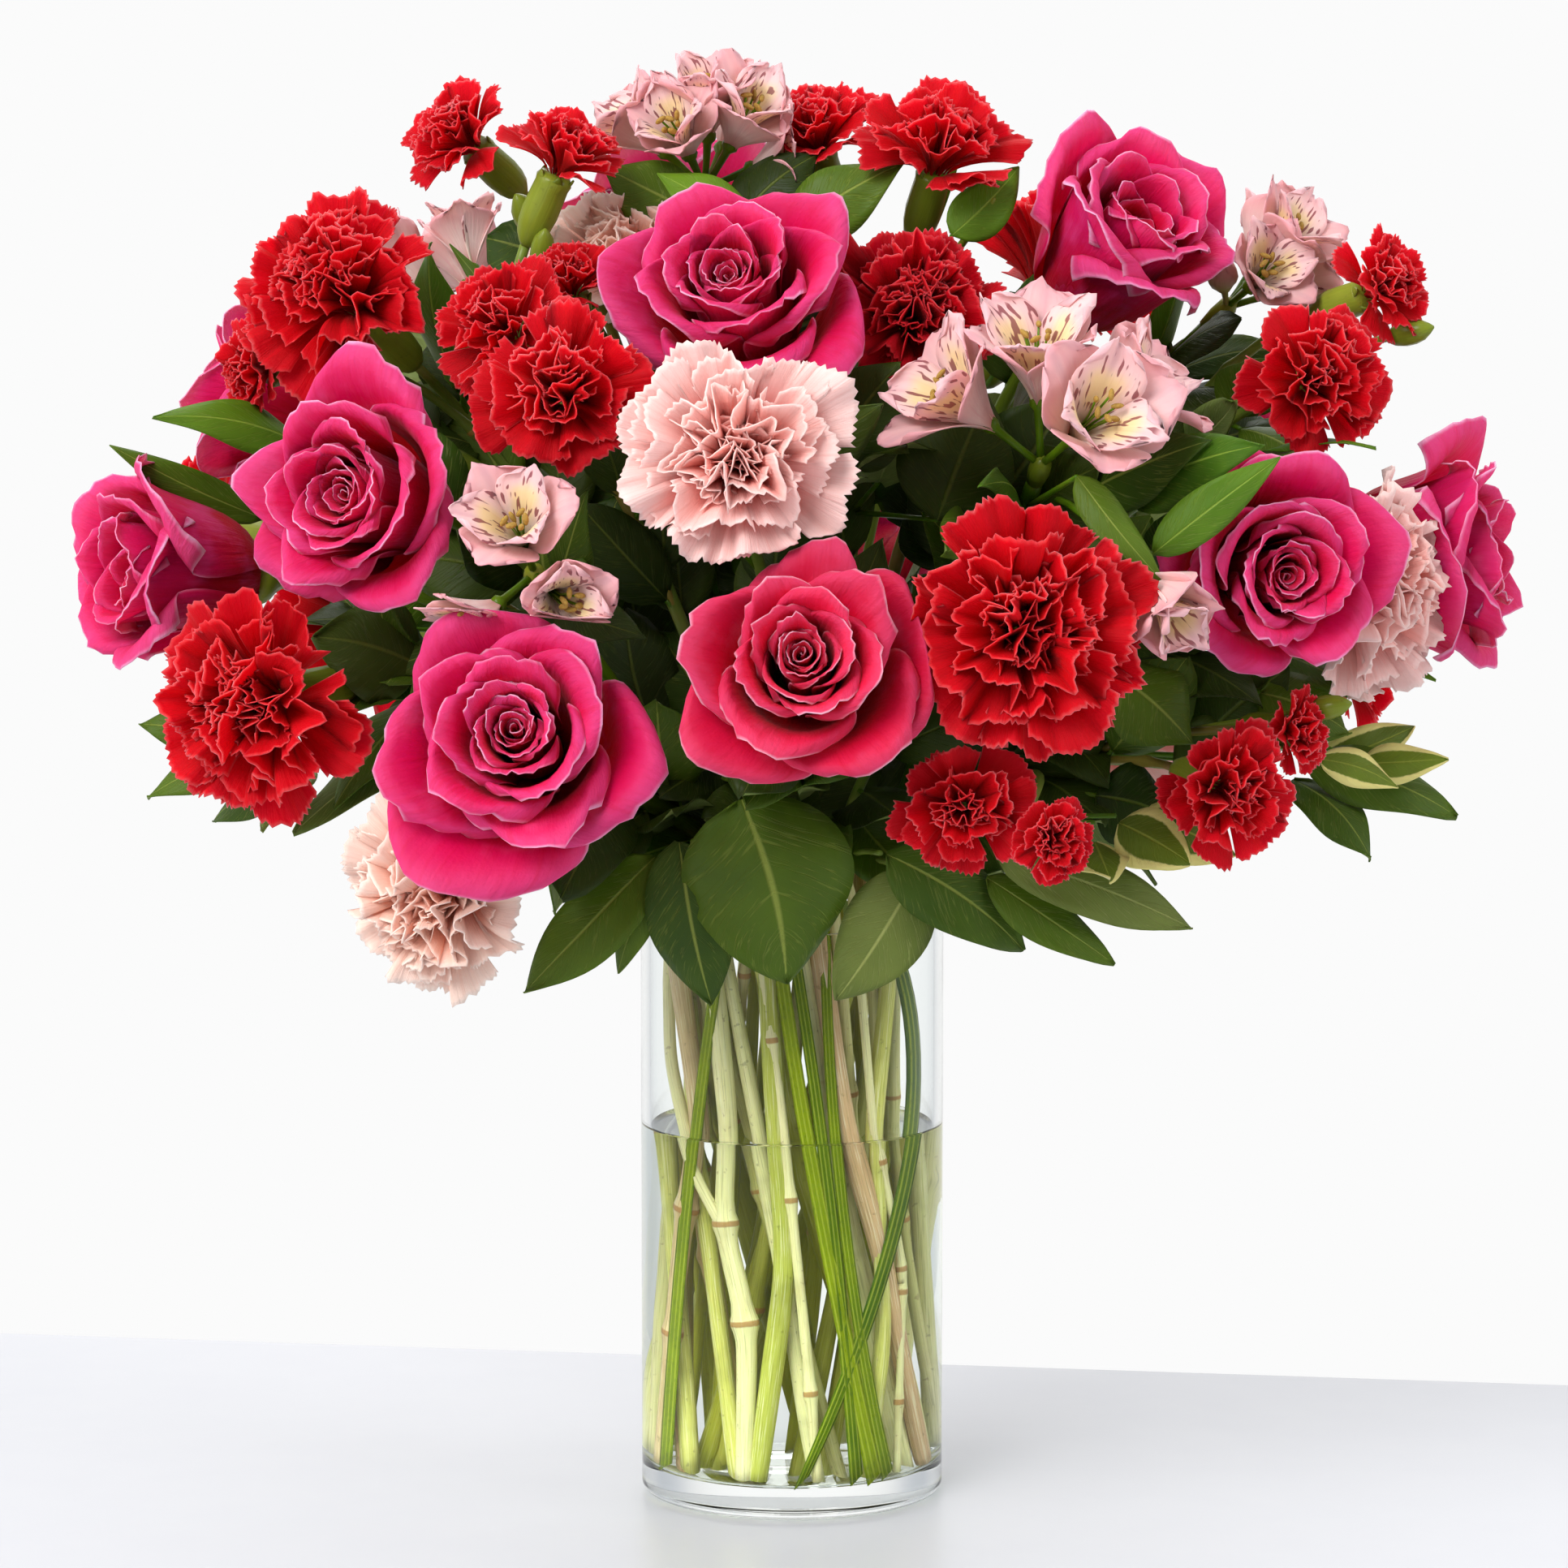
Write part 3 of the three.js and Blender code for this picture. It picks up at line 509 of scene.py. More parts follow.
def petalFinish(name, kind, veins=30, rimFrom=0.965, rimPower=0.7, sheen=0.03, glow=0.45, crinkle=0.5, soak=0.3):
    # veined petal: in shade at its foot, brighter outwards, with a thin light rim; tone is 0 in the heart, 1 outside
    finish = Finish(name)
    shade, core, middle, pale, edge = (tint(*colour) for colour in petalColours[kind])
    across, along, off, tone, place = finish.sheetValues()
    cloud = finish.noise(place, 70, 2)
    fibre = finish.grain(across * veins, along * 1.6, tone * 37, 3, 0.55)
    body = finish.mix(finish.step(tone + 0.25 * (cloud - 0.5), 0.1, 0.75), core, middle)
    height = along + 0.16 * (cloud - 0.5)
    # painted shade: darker towards each petal's foot, where the petals crowd
    low = finish.step(height, 0.4, 0.84)
    body = finish.mix(low, shade, body)
    body = finish.mix(finish.step(height, 0.7, 1.02) * (0.35 + 0.55 * tone), body, pale)
    streak = finish.step(fibre, 0.45, 0.75)
    crease = finish.grain(across * veins * 0.35, along * 3, tone * 23, 4, 0.65)
    body = finish.mix(0.28 * streak, body, core)
    body = finish.mix(finish.step(cloud + 0.5 * (crease - 0.5), 0.5, 0.8) * 0.4, body, pale)
    rim = finish.step(along + 0.012 * (fibre - 0.5), rimFrom, 1.0)
    rimPower = rimPower * (0.45 + 0.8 * finish.step(cloud, 0.35, 0.65))
    side = finish.step(off, 0.955, 1.0) * finish.step(along, 0.55, 0.9) * 0.7
    colour = finish.mix((rim + side).clamped() * rimPower, body, edge)
    fine = finish.noise(place, 800, 3)
    relief = fibre * 0.7 + cloud * 0.5 + fine * 0.3 + crease * crinkle
    return finish.surface({
        "Base Color": colour, "Roughness": 0.54 + 0.2 * cloud, "Normal": finish.bump(relief, 0.6, 0.0011),
        **flesh(glow, (1.0, soak, soak * 0.93), 0.008),
        "Sheen Weight": sheen, "Sheen Roughness": 0.4, "Specular IOR Level": 0.1,
    })


roseLook = {"crinkle": 1.6}
redLook = {"veins": 60, "rimFrom": 0.96, "rimPower": 0.45, "sheen": 0.02, "glow": 0.65}
pinkLook = {"veins": 60, "rimFrom": 0.95, "rimPower": 0.4, "sheen": 0.02, "glow": 0.3, "soak": 0.8}
coolRose = [petalFinish("rose_petal_back", "roseBack", **roseLook), petalFinish("rose_petal", "roseFront", **roseLook)]
warmRose = [petalFinish("warm_rose_petal_back", "warmBack", **roseLook),
            petalFinish("warm_rose_petal", "warmFront", **roseLook)]
redPetal = [petalFinish("red_carnation_petal", "red", **redLook)]
darkRedPetal = [petalFinish("dark_red_carnation_petal", "darkRed", **redLook)]
pinkPetal = [petalFinish("pink_carnation_petal", "pink", **pinkLook)]
creamPetal = [petalFinish("cream_carnation_petal", "cream", **pinkLook)]
print("petal finishes are made")

# roses

# by share of the way from the innermost petal to the outermost: how far its shoulder stands from the axis, how high,
# its lean outwards and half its width in degrees, the length of its rolled margin and how far that turns in degrees
roseForm = {
    "petals": 28, "thickness": 0.35, "blank": makeBlank(16, 18, 1.5),
    "out": ((0, 0.015), (0.4, 0.2), (0.66, 0.42), (0.8, 0.62), (1, 0.88)),
    "high": ((0, 0.24), (0.4, 0.38), (0.66, 0.42), (0.8, 0.3), (1, 0.02)),
    "lean": ((0, 2), (0.4, 10), (0.66, 26), (0.8, 46), (1, 74)),
    "half": ((0, 150), (0.4, 90), (0.66, 72), (1, 62)),
    "margin": ((0, 0.03), (0.4, 0.06), (0.66, 0.1), (1, 0.2)),
    "curl": ((0, 30), (0.4, 70), (0.66, 92), (1, 116)),
    "foot": (0.05, -0.62),
}


def spreadOut(form, dice):
    # each petal's share of the way outwards, its chances, and the form's values at that share
    n = form["petals"]
    s = (np.arange(n) / (n - 1))[:, None]
    wild = lambda size: dice.uniform(-size, size, (n, 1))
    shaped = lambda key: np.interp(s, *zip(*form[key]))
    return n, s, wild, shaped, form["blank"]["across"][None], form["blank"]["along"][None]


def rosePetals(form, head, dice):
    n, s, wild, shaped, u, v = spreadOut(form, dice)
    cup = head["cup"]
    turn = golden * np.arange(n)[:, None] + math.radians(head["spin"]) + wild(0.14)
    out = shaped("out") * (1 - 0.16 * cup * s + 0.1 * np.cos(turn - head["spin"])) + wild(0.012) + wild(0.04) * s
    high = shaped("high") + cup * 0.42 * s**1.5 + wild(0.03) * (0.3 + s)
    lean = np.radians(shaped("lean") - 40 * cup * s**1.3 + wild(6) * s)
    half = np.radians(shaped("half") + wild(6))
    corner = 0.08 + 0.1 * s + 0.07 * s * dice.uniform(-1, 1, (n, 1))
    shoulder = 0.8
    point = 0.055 * s * np.exp(-(((u - wild(0.3)) / 0.3) ** 2))
    t = np.clip(v / shoulder, 0, 1) * (1 - corner * np.abs(u) ** 2.4 + point)
    foot, low = form["foot"]
    reach = 0.16 + 0.26 * s
    r = curveAt(t, foot, 0.4 * out + 0.1, 0.72 * out + 0.05, out - reach * np.sin(lean), out)
    z = curveAt(t, low, low - 0.02, -0.38 + 0.1 * cup * s, high - reach * np.cos(lean), high)
    # past its shoulder the margin rolls back along an arc, most at the petal's sides
    e = np.clip((v - shoulder) / (1 - shoulder), 0, 1)
    skew = wild(0.5)
    curl = np.radians(shaped("curl")) * dice.uniform(0.7, 1.25, (n, 1)) * (0.5 + 0.75 * np.abs(u + 0.3 * skew) ** 1.4)
    margin = shaped("margin") * dice.uniform(0.8, 1.2, (n, 1))
    turned = lean + curl * e
    r = r + margin / curl * (np.cos(lean) - np.cos(turned))
    z = z + margin / curl * (np.sin(turned) - np.sin(lean))
    phase = dice.uniform(0, 6.3, (n, 3))
    wave = (np.sin(2.3 * u + phase[:, :1]) + 0.5 * np.sin(5.3 * u + phase[:, 1:2])
            + 0.2 * np.sin(11 * u + phase[:, 2:3]) * v**4 + 0.1 * np.sin(23 * u + phase[:, 1:2]) * v**6)
    r = r + (0.006 + 0.032 * s) * wave * v**2 + (0.01 + 0.03 * s) * u * v
    z = z + (0.006 + 0.036 * s) * wave * v**3
    width = curveAt(v, 0.55, 0.85, 1.12, 1.08) * (1 - 0.36 * np.clip((v - 0.55) / 0.45, 0, 1) ** 2.6)
    creased = 0.02 * s * np.sin(31 * u + phase[:, 1:2]) * np.sin(7 * u + phase[:, :1]) * v**5
    r, z = r + creased, z - creased
    notch = 0.024 * s * np.sin(17 * u + phase[:, 2:3]) * np.sin(5 * u + phase[:, 1:2]) * v**8
    angle = turn + half * u * width
    away = 0.05 * (1 - s) * np.clip(v, 0, 1)
    x = (r + notch) * np.cos(angle) - away * math.cos(head["spin"])
    y = (r + notch) * np.sin(angle) - away * math.sin(head["spin"])
    return np.stack((x, y, z), -1)


def placeBloom(name, shape):
    # from a bloom drawn about its middle, facing +Z, to its place in metres
    head = heads[name]
    points = (shape * head["radius"] * head.get("spread", 1)) @ turnTo(head["face"]).T
    return (pressIn(points, cellOf(name)) + head["at"]) * mm


def tonesOf(count, dice):
    # from 0 for the heart's petals to 1 for the outer ones, with some chance
    return np.clip(np.linspace(0, 1, count) + dice.uniform(-0.12, 0.12, count), 0, 1)


def makeBloom(name, petals, form, finishes, slot, seed):
    dice = np.random.default_rng(seed)
    points = placeBloom(name, petals(form, heads[name], dice))
    parts = [sheetPart(form["blank"], points, tonesOf(len(points), dice))]
    settle(makeSheets(name + "_bloom", parts, finishes, form["thickness"], len(finishes) - 1), slot, name)


for number, (name, head) in enumerate(roses.items()):
    finishes = warmRose if head.get("warm") else coolRose
    makeBloom(name, rosePetals, roseForm, finishes, "rose_petal", 100 + number)
print("roses are made")

# carnations, large and small

# by share of the way from the innermost petal to the outermost: how far its rim stands from the axis, how high, its
# lean outwards in degrees, half its width, and how deeply it is crumpled and folded
carnationForm = {
    "petals": 42, "thickness": 0.35, "teeth": 0.034, "base": -0.48, "blank": makeBlank(26, 12, 1.2),
    "out": ((0, 0.06), (0.4, 0.42), (0.7, 0.82), (1, 1.06)),
    "high": ((0, 0.46), (0.4, 0.5), (0.7, 0.3), (1, -0.04)),
    "lean": ((0, 8), (0.4, 34), (0.7, 62), (1, 86)),
    "half": ((0, 0.22), (0.4, 0.34), (0.7, 0.43), (1, 0.46)),
    "crumple": ((0, 0.12), (0.4, 0.12), (0.7, 0.115), (1, 0.1)),
}
sprayForm = {
    "petals": 26, "thickness": 0.35, "teeth": 0.045, "base": -0.53, "blank": makeBlank(20, 9, 1.2),
    "out": ((0, 0.08), (0.4, 0.46), (0.7, 0.84), (1, 1.06)),
    "high": ((0, 0.4), (0.4, 0.42), (0.7, 0.26), (1, -0.08)),
    "lean": ((0, 8), (0.4, 34), (0.7, 62), (1, 92)),
    "half": ((0, 0.26), (0.4, 0.4), (0.7, 0.5), (1, 0.54)),
    "crumple": ((0, 0.13), (0.4, 0.11), (0.7, 0.075), (1, 0.06)),
}
pinkForm = {
    **carnationForm, "petals": 36,
    "high": ((0, 0.5), (0.4, 0.52), (0.7, 0.3), (1, -0.04)),
    "half": ((0, 0.3), (0.4, 0.42), (0.7, 0.48), (1, 0.5)),
    "crumple": ((0, 0.17), (0.4, 0.15), (0.7, 0.12), (1, 0.1)),
}


def carnationPetals(form, head, dice):
    n, s, wild, shaped, u, v = spreadOut(form, dice)
    base, columns = form["base"], form["blank"]["columns"]
    out = shaped("out") + wild(0.09)
    high = shaped("high") + wild(0.11)
    lean = np.radians(shaped("lean") + wild(18))
    turn = golden * np.arange(n)[:, None] + math.radians(head.get("spin", 0)) + wild(0.3)
    column = np.round((u + 1) / 2 * columns).astype(int)
    tooth = np.where(column % 2 > 0, 1.0, 0.0)
    bite = dice.uniform(0.2, 1.3, (n, columns + 1))[np.arange(n)[:, None], column]
    lobes = 0.03 * np.sin(4.4 * u + 6.3 * dice.uniform(0, 1, (n, 1)))
    t = v * (1 - (0.13 + 0.04 * s) * np.abs(u) ** 2.2 + lobes * v**3) - form["teeth"] * tooth * bite * v**11
    reach = 0.26 + 0.16 * s
    r = curveAt(t, 0.04, 0.05 + 0.14 * s, out - reach * np.sin(lean), out)
    z = curveAt(t, base, base + 0.36, high - reach * np.cos(lean) + 0.05 * s, high)
    # blades fan out from a narrow claw and are crumpled towards the rim, the inner ones folded too
    half = shaped("half") * dice.uniform(0.85, 1.15, (n, 1))
    fan = np.clip((t - 0.18) / 0.82, 0, 1)
    phase = dice.uniform(0, 6.3, (n, 5))
    count = dice.uniform(0.8, 1.5, (n, 1)) + 0.2 * (1 - s)
    wave = (np.sin(math.pi * count * u + phase[:, 0:1]) + 0.5 * np.sin(math.pi * 2.1 * count * u + phase[:, 1:2])
            + 0.22 * np.sin(math.pi * 4.3 * u + phase[:, 2:3]) * v**3
            + 0.1 * np.sin(math.pi * 9 * u + phase[:, 4:]) * v**6)
    fold = wild(0.34) * np.clip(1 - 1.3 * s, 0.12, 1) * np.abs(u - wild(0.3))
    bulge = shaped("crumple") * wave * fan**1.3 + fold * fan
    sideways = half * fan**1.1 * u * (1 - 0.1 * np.cos(math.pi * count * u + phase[:, 3:4]))
    # crumpling moves along the blade's own normal, which leans from outwards to upwards
    tilt = lean * np.clip(t, 0, 1)
    r = r + bulge * np.cos(tilt)
    z = z - bulge * np.sin(tilt)
    c, k = np.cos(turn), np.sin(turn)
    return np.stack((r * c - sideways * k, r * k + sideways * c, z), -1)


for number, name in enumerate(redCarnations):
    finishes = darkRedPetal if name.endswith("04") else redPetal
    makeBloom(name, carnationPetals, carnationForm, finishes, "red_petal", 200 + number)
for number, name in enumerate(pinkCarnations):
    finishes = creamPetal if name[-1] in "23" else pinkPetal
    makeBloom(name, carnationPetals, pinkForm, finishes, "pink_petal", 300 + number)
for number, name in enumerate(sprayCarnations):
    makeBloom(name, carnationPetals, sprayForm, redPetal, "red_petal", 400 + number)
print("carnations are made")

# stems: where they stand, and how they grow up to the heads

bearing = lambda head: math.atan2(head["at"][1], head["at"][0])
# heel, rim and corner: how far the outer foot, the rim's edges and the inner foot are rounded; punt: how deep the
# underside's hollow is; foot and slope: how wide the ring that it stands on is, and the way from there into the hollow
vase = {"radius": 51, "wall": 3.2, "floor": 10, "height": 196, "heel": 3, "corner": 5, "rim": 1.2, "punt": 1.6,
        "foot": 9, "slope": 8, "sides": 128}
water = {"level": 125, "overlap": 0.15, "creep": 1.1, "edge": 1.8, "bend": 0.9}
stemRadius = {"rose": 3.3, "carnation": 2.4, "spray": 1.9, "alstroemeria": 3.0}
# gap: between a stem and its head, and under its lowest point; fork: how far up a stem its side branches leave it;
# stretches: how many the part above the rim counts as; bow: how far the standing part bends to the side; firstJoint and
# lastJoint: mm from the foot, and from the end; near: rings round a joint; ring and swelling: how long these are, and
# papery: how clear the ring is; girth: from the thinnest stem to the thickest; mauve: the share of such stems; pulls of
# the curve where a branch leaves and arrives, and where a stem leaves the rim and arrives
stemForm = {"gap": 0.3, "fork": 0.483, "stretches": 3, "bow": 4, "firstJoint": (8, 50), "lastJoint": 12, "every": 7,
            "near": (-4, -2.2, -1.1, -0.4, 0.4, 1.1, 2.2, 4), "ring": 1.2, "swelling": 3.4, "papery": (0.2, 1.1),
            "girth": (0.74, 1.2), "mauve": 0.3, "branchPull": 0.35, "leavePull": 0.4, "arrivePull": 0.38, "sides": 12}
jointSwell = {"rose": 0.14, "carnation": 0.42, "spray": 0.42, "alstroemeria": 0.42}  # share of the stem's radius
# swing: how far a foot stands to the side of its place, in degrees; inset: the same from the axis, in mm; steps: how
# fast the waves of unevenness, swing and inset run from stem to stem
standing = {"swing": 17, "inset": 2.5, "raise": 1.6, "steps": (2.1, 2.7, 3.3)}
# stems stand in three rings, each turned about the vase the other way from the next, so that they cross
stemRings = (
    {"count": 18, "rim": 38, "foot": 37, "turn": 66, "uneven": 0},
    {"count": 11, "rim": 35.8, "foot": 26.9, "turn": -82, "uneven": 4},
    {"count": 99, "rim": 15, "foot": 23.1, "turn": 80, "uneven": 5},
)
# height below the petals and radius of each ring of the swelling under a head
calyxRings = {
    "rose": lambda r: ((14, 3.4), (9, 4.2), (6, 6.2), (3, 9.2), (0, 10.4), (-3, 9)),
    "carnation": lambda r: ((0.95 * r, 2.6), (0.9 * r, 4.4), (0.78 * r, 6.2), (0.6 * r, 7), (0.3 * r, 7.2), (0, 7.4),
                            (-2, 8), (-4, 6.5)),
    "spray": lambda r: ((r, 1.9), (0.94 * r, 3), (0.83 * r, 4.6), (0.66 * r, 5.7), (0.45 * r, 6.2), (0.2 * r, 6),
                        (0, 5.8), (-2, 6.2), (-4, 5)),
    "alstroemeria": lambda r: ((8, 3), (2, 3.6), (-3, 3.4), (-6, 1.5)),
}
knots = {"carnation": (38, 66), "spray": (34, 70), "rose": (60, 130)}  # mm between joints, at least and at most
blooms = [head for head in heads.values() if head["kind"] != "foliage"]
upright = [head for head in blooms if "on" not in head]


def onCircle(radius, angle, height):
    return np.array((radius * math.cos(angle), radius * math.sin(angle), height))


def standStems():
    waiting = sorted(upright, key=lambda h: 0.35 * h["at"][2] - math.hypot(h["at"][0], h["at"][1]))
    for ring in stemRings:
        group = sorted(waiting[:ring["count"]], key=bearing)
        del waiting[:ring["count"]]
        step = math.tau / len(group)
        offset = sum(bearing(head) - i * step for i, head in enumerate(group)) / len(group)
        for i, head in enumerate(group):
            angle = offset + i * step
            uneven, swing, inset = (wave * i for wave in standing["steps"])
            turn = ring["turn"] + ring["uneven"] * math.sin(uneven + ring["foot"]) + standing["swing"] * math.sin(swing)
            low = ring["foot"] + standing["inset"] * math.cos(inset)
            head["rim"] = onCircle(ring["rim"], angle, vase["height"])
            head["foot"] = onCircle(low, angle + math.radians(turn), vase["floor"] + standing["raise"])


def lengthsOf(path):
    return np.concatenate(([0], np.cumsum(np.linalg.norm(np.diff(path, axis=0), axis=1))))


def pointAt(path, share):
    # the point and the direction at a share of a path's length
    lengths = lengthsOf(path)
    points = [np.array([np.interp(s * lengths[-1], lengths, path[:, i]) for i in range(3)])
              for s in (share, share + 0.01)]
    return points[0], unit(points[1] - points[0])


def bezier(a, b, c, d):
    return curveAt(np.linspace(0, 1, 60)[:, None], a, b, c, d)


def growStem(head):
    depth = calyxRings[head["kind"]](head["radius"])[0][0]
    end = head["seat"] - head["face"] * (stemForm["gap"] + depth)
    if "on" in head:
        fork, leave = pointAt(heads[head["on"]]["upper"], stemForm["fork"])
        reach = np.linalg.norm(end - fork)
        pull = reach * stemForm["branchPull"]
        head["upper"] = bezier(fork, fork + leave * pull, end - head["face"] * pull, end)
        return
    leave = unit(head["rim"] - head["foot"])
    reach = np.linalg.norm(end - head["rim"])
    head["upper"] = bezier(head["rim"], head["rim"] + leave * reach * stemForm["leavePull"],
                           end - head["face"] * reach * stemForm["arrivePull"], end)


standStems()
for head in sorted(blooms, key=lambda h: "on" in h):
    growStem(head)
for head in heads.values():
    if head["kind"] == "foliage":
        head["seat"] = pointAt(heads[head["on"]]["upper"], head["share"] / stemForm["stretches"])[0]


def tube(path, radii, sides=10, **layers):
    # a closed tube round a path, its rings turned as little as they can be
    path, radii = np.asarray(path, float), np.asarray(radii, float)
    along = unit(np.gradient(path, axis=0))
    across = np.array((1, 0.3, 0.07))
    rings = []
    spots = np.linspace(0, math.tau, sides, endpoint=False)
    for point, way, radius in zip(path, along, radii):
        across = unit(across - way * (across @ way))
        other = np.cross(way, across)
        rings.append(point + radius * (np.outer(np.cos(spots), across) + np.outer(np.sin(spots), other)))
    index = np.arange(len(path) * sides).reshape(len(path), sides)
    turned = np.roll(index, -1, axis=1)
    quads = np.stack((index[:-1], turned[:-1], turned[1:], index[1:]), -1).reshape(-1, 4).tolist()
    faces = quads + [index[0][::-1].tolist(), index[-1].tolist()]
    lie = np.stack((np.tile(spots / math.tau, len(path)), np.repeat(lengthsOf(path) / 100, sides)), 1)
    return {"points": np.concatenate(rings), "faces": faces, "lie": lie,
            **{name: np.repeat(np.broadcast_to(values, len(path)), sides) for name, values in layers.items()}}


def makeSolids(name, shapes, finishes):
    points, faces, slots = [], [], []
    start = 0
    for shape in shapes:
        points.append(shape["points"])
        faces += [[corner + start for corner in face] for face in shape["faces"]]
        slots += [shape.get("slot", 0)] * len(shape["faces"])
        start += len(shape["points"])
    layers = {layer: np.concatenate([shape.get(layer, np.zeros(len(shape["points"]))) for shape in shapes])
              for layer in ("tone", "knot")}
    return makeMesh(name, np.concatenate(points) * mm, faces, layers, finishes, slots,
                    np.concatenate([shape["lie"] for shape in shapes]))


def makeEgg():
    bpy.ops.object.select_all(action="DESELECT")
    bpy.ops.mesh.primitive_ico_sphere_add(subdivisions=2, radius=1)
    ball = bpy.context.object
    egg = {"points": np.array([v.co[:] for v in ball.data.vertices]),
           "faces": [list(p.vertices) for p in ball.data.polygons]}
    egg["lie"] = egg["points"][:, [0, 2]] / 2 + 0.5
    bpy.data.objects.remove(ball)
    return egg


# above: heights in m over which the look in the vase ends; inner: distances in m from the vase's axis over which the
# painted shade of the middle stems ends; change: how fully these two looks take over; and the colours of both and of
# the joints' rings
stemLook = {"above": (0.19, 0.24), "inner": (0.024, 0.04), "change": 0.96, "palest": tint(246, 242, 176),
            "lightFibre": tint(252, 250, 212), "darkFibre": tint(72, 82, 12), "shadeDarkOlive": tint(116, 120, 8),
            "shadeOlive": tint(190, 190, 48), "papery": tint(176, 122, 60)}


def stemFinish(name, low, high, tinted, spots, wet):
    # waxy stem: fine lengthwise fibres, blotches, and brown papery rings at its joints; it is paler in the vase, and
    # darker near the vase's axis: painted shade, for the shade that the stems round it cast
    finish = Finish(name)
    around, length = finish.mapAxes()
    tone, knot = finish.attribute("tone"), finish.attribute("knot")
    place = finish.place()
    rise = finish.split(place)[2]
    fibre = finish.grain(around * 46, length * 5, tone * 7, 3, 0.6)
    blotch = finish.noise(place, 55, 3)
    speck = finish.noise(place, 420, 2)
    flat = finish.node("VectorMath", {"operation": "MULTIPLY"}, {0: place, 1: (1, 1, 0)})
    out = finish.node("VectorMath", {"operation": "LENGTH"}, {0: flat}, "Value")
    # painted shade: stems near the vase's axis are darkened, for the shade of the stems round them
    inner = 1 - finish.step(out, *stemLook["inner"])
    colour = finish.mix((tone * 0.8 + fibre * 0.5 - 0.15).clamped(), low, high)
    inVase = 1 - finish.step(rise + 0.03 * (blotch - 0.5), *stemLook["above"])
    pale = finish.mix(finish.step(tone + 0.3 * (fibre - 0.5), 0.3, 0.9), wet, stemLook["palest"])
    colour = finish.mix(inVase * stemLook["change"], colour, pale)
    colour = finish.mix(inVase * finish.step(fibre, 0.52, 0.66) * 0.5, colour, stemLook["lightFibre"])
    colour = finish.mix(inVase * (1 - finish.step(fibre, 0.34, 0.48)) * 0.3, colour, stemLook["darkFibre"])
    # the colours of the painted shade near the axis
    shaded = finish.mix(fibre, stemLook["shadeDarkOlive"], stemLook["shadeOlive"])
    colour = finish.mix(inVase * inner * stemLook["change"], colour, shaded)
    colour = finish.mix(finish.step(blotch, 0.5, 0.75) * 0.5 * (1 - 0.4 * inVase), colour, tinted)
    colour = finish.mix(finish.step(speck, 0.66, 0.74) * 0.35, colour, spots)
    ring = finish.step(knot + 0.3 * (speck - 0.5), 0.4, 0.75)
    colour = finish.mix(ring * 0.8, colour, stemLook["papery"])
    return finish.surface({
        "Base Color": colour, "Roughness": 0.24 + 0.25 * blotch,
        "Normal": finish.bump(fibre + 0.4 * speck + ring * 0.8, 0.3, 0.0006),
        **flesh(0.12, (0.5, 1.0, 0.3), 0.003), "Specular IOR Level": 0.05,
        "Coat Weight": (1 - inVase) * 0.3, "Coat Roughness": 0.2,
    })


# by kind: low and high green, blotches, specks, and the colour in the vase
stemColours = {
    "rose_stem": ((54, 82, 8), (108, 130, 30), (120, 126, 44), (94, 88, 26), (216, 216, 108)),
    "carnation_stem": ((76, 104, 30), (130, 146, 60), (164, 146, 80), (124, 102, 44), (250, 244, 176)),
    "alstroemeria_stem": ((44, 84, 4), (100, 134, 20), (106, 106, 30), (82, 84, 18), (194, 200, 88)),
    "calyx": ((84, 104, 16), (140, 150, 48), (112, 112, 34), (88, 86, 28), (150, 170, 70)),
    "mauve_stem": ((92, 88, 26), (136, 122, 54), (158, 112, 84), (118, 86, 50), (220, 184, 136)),
}
stemFinishes = [stemFinish(name, *(tint(*colour) for colour in row)) for name, row in stemColours.items()]
leafyStem, calyxFinish = stemFinishes[2:4]
calyxSlot = 3
stemSlot = {"rose": 0, "carnation": 1, "spray": 1, "alstroemeria": 2, "mauve": 4}


def bumps(places, marks, width, heights=1):
    # the sum of a bump at each mark
    return (heights * np.exp(-(((places[:, None] - marks) / width) ** 2))).sum(1)


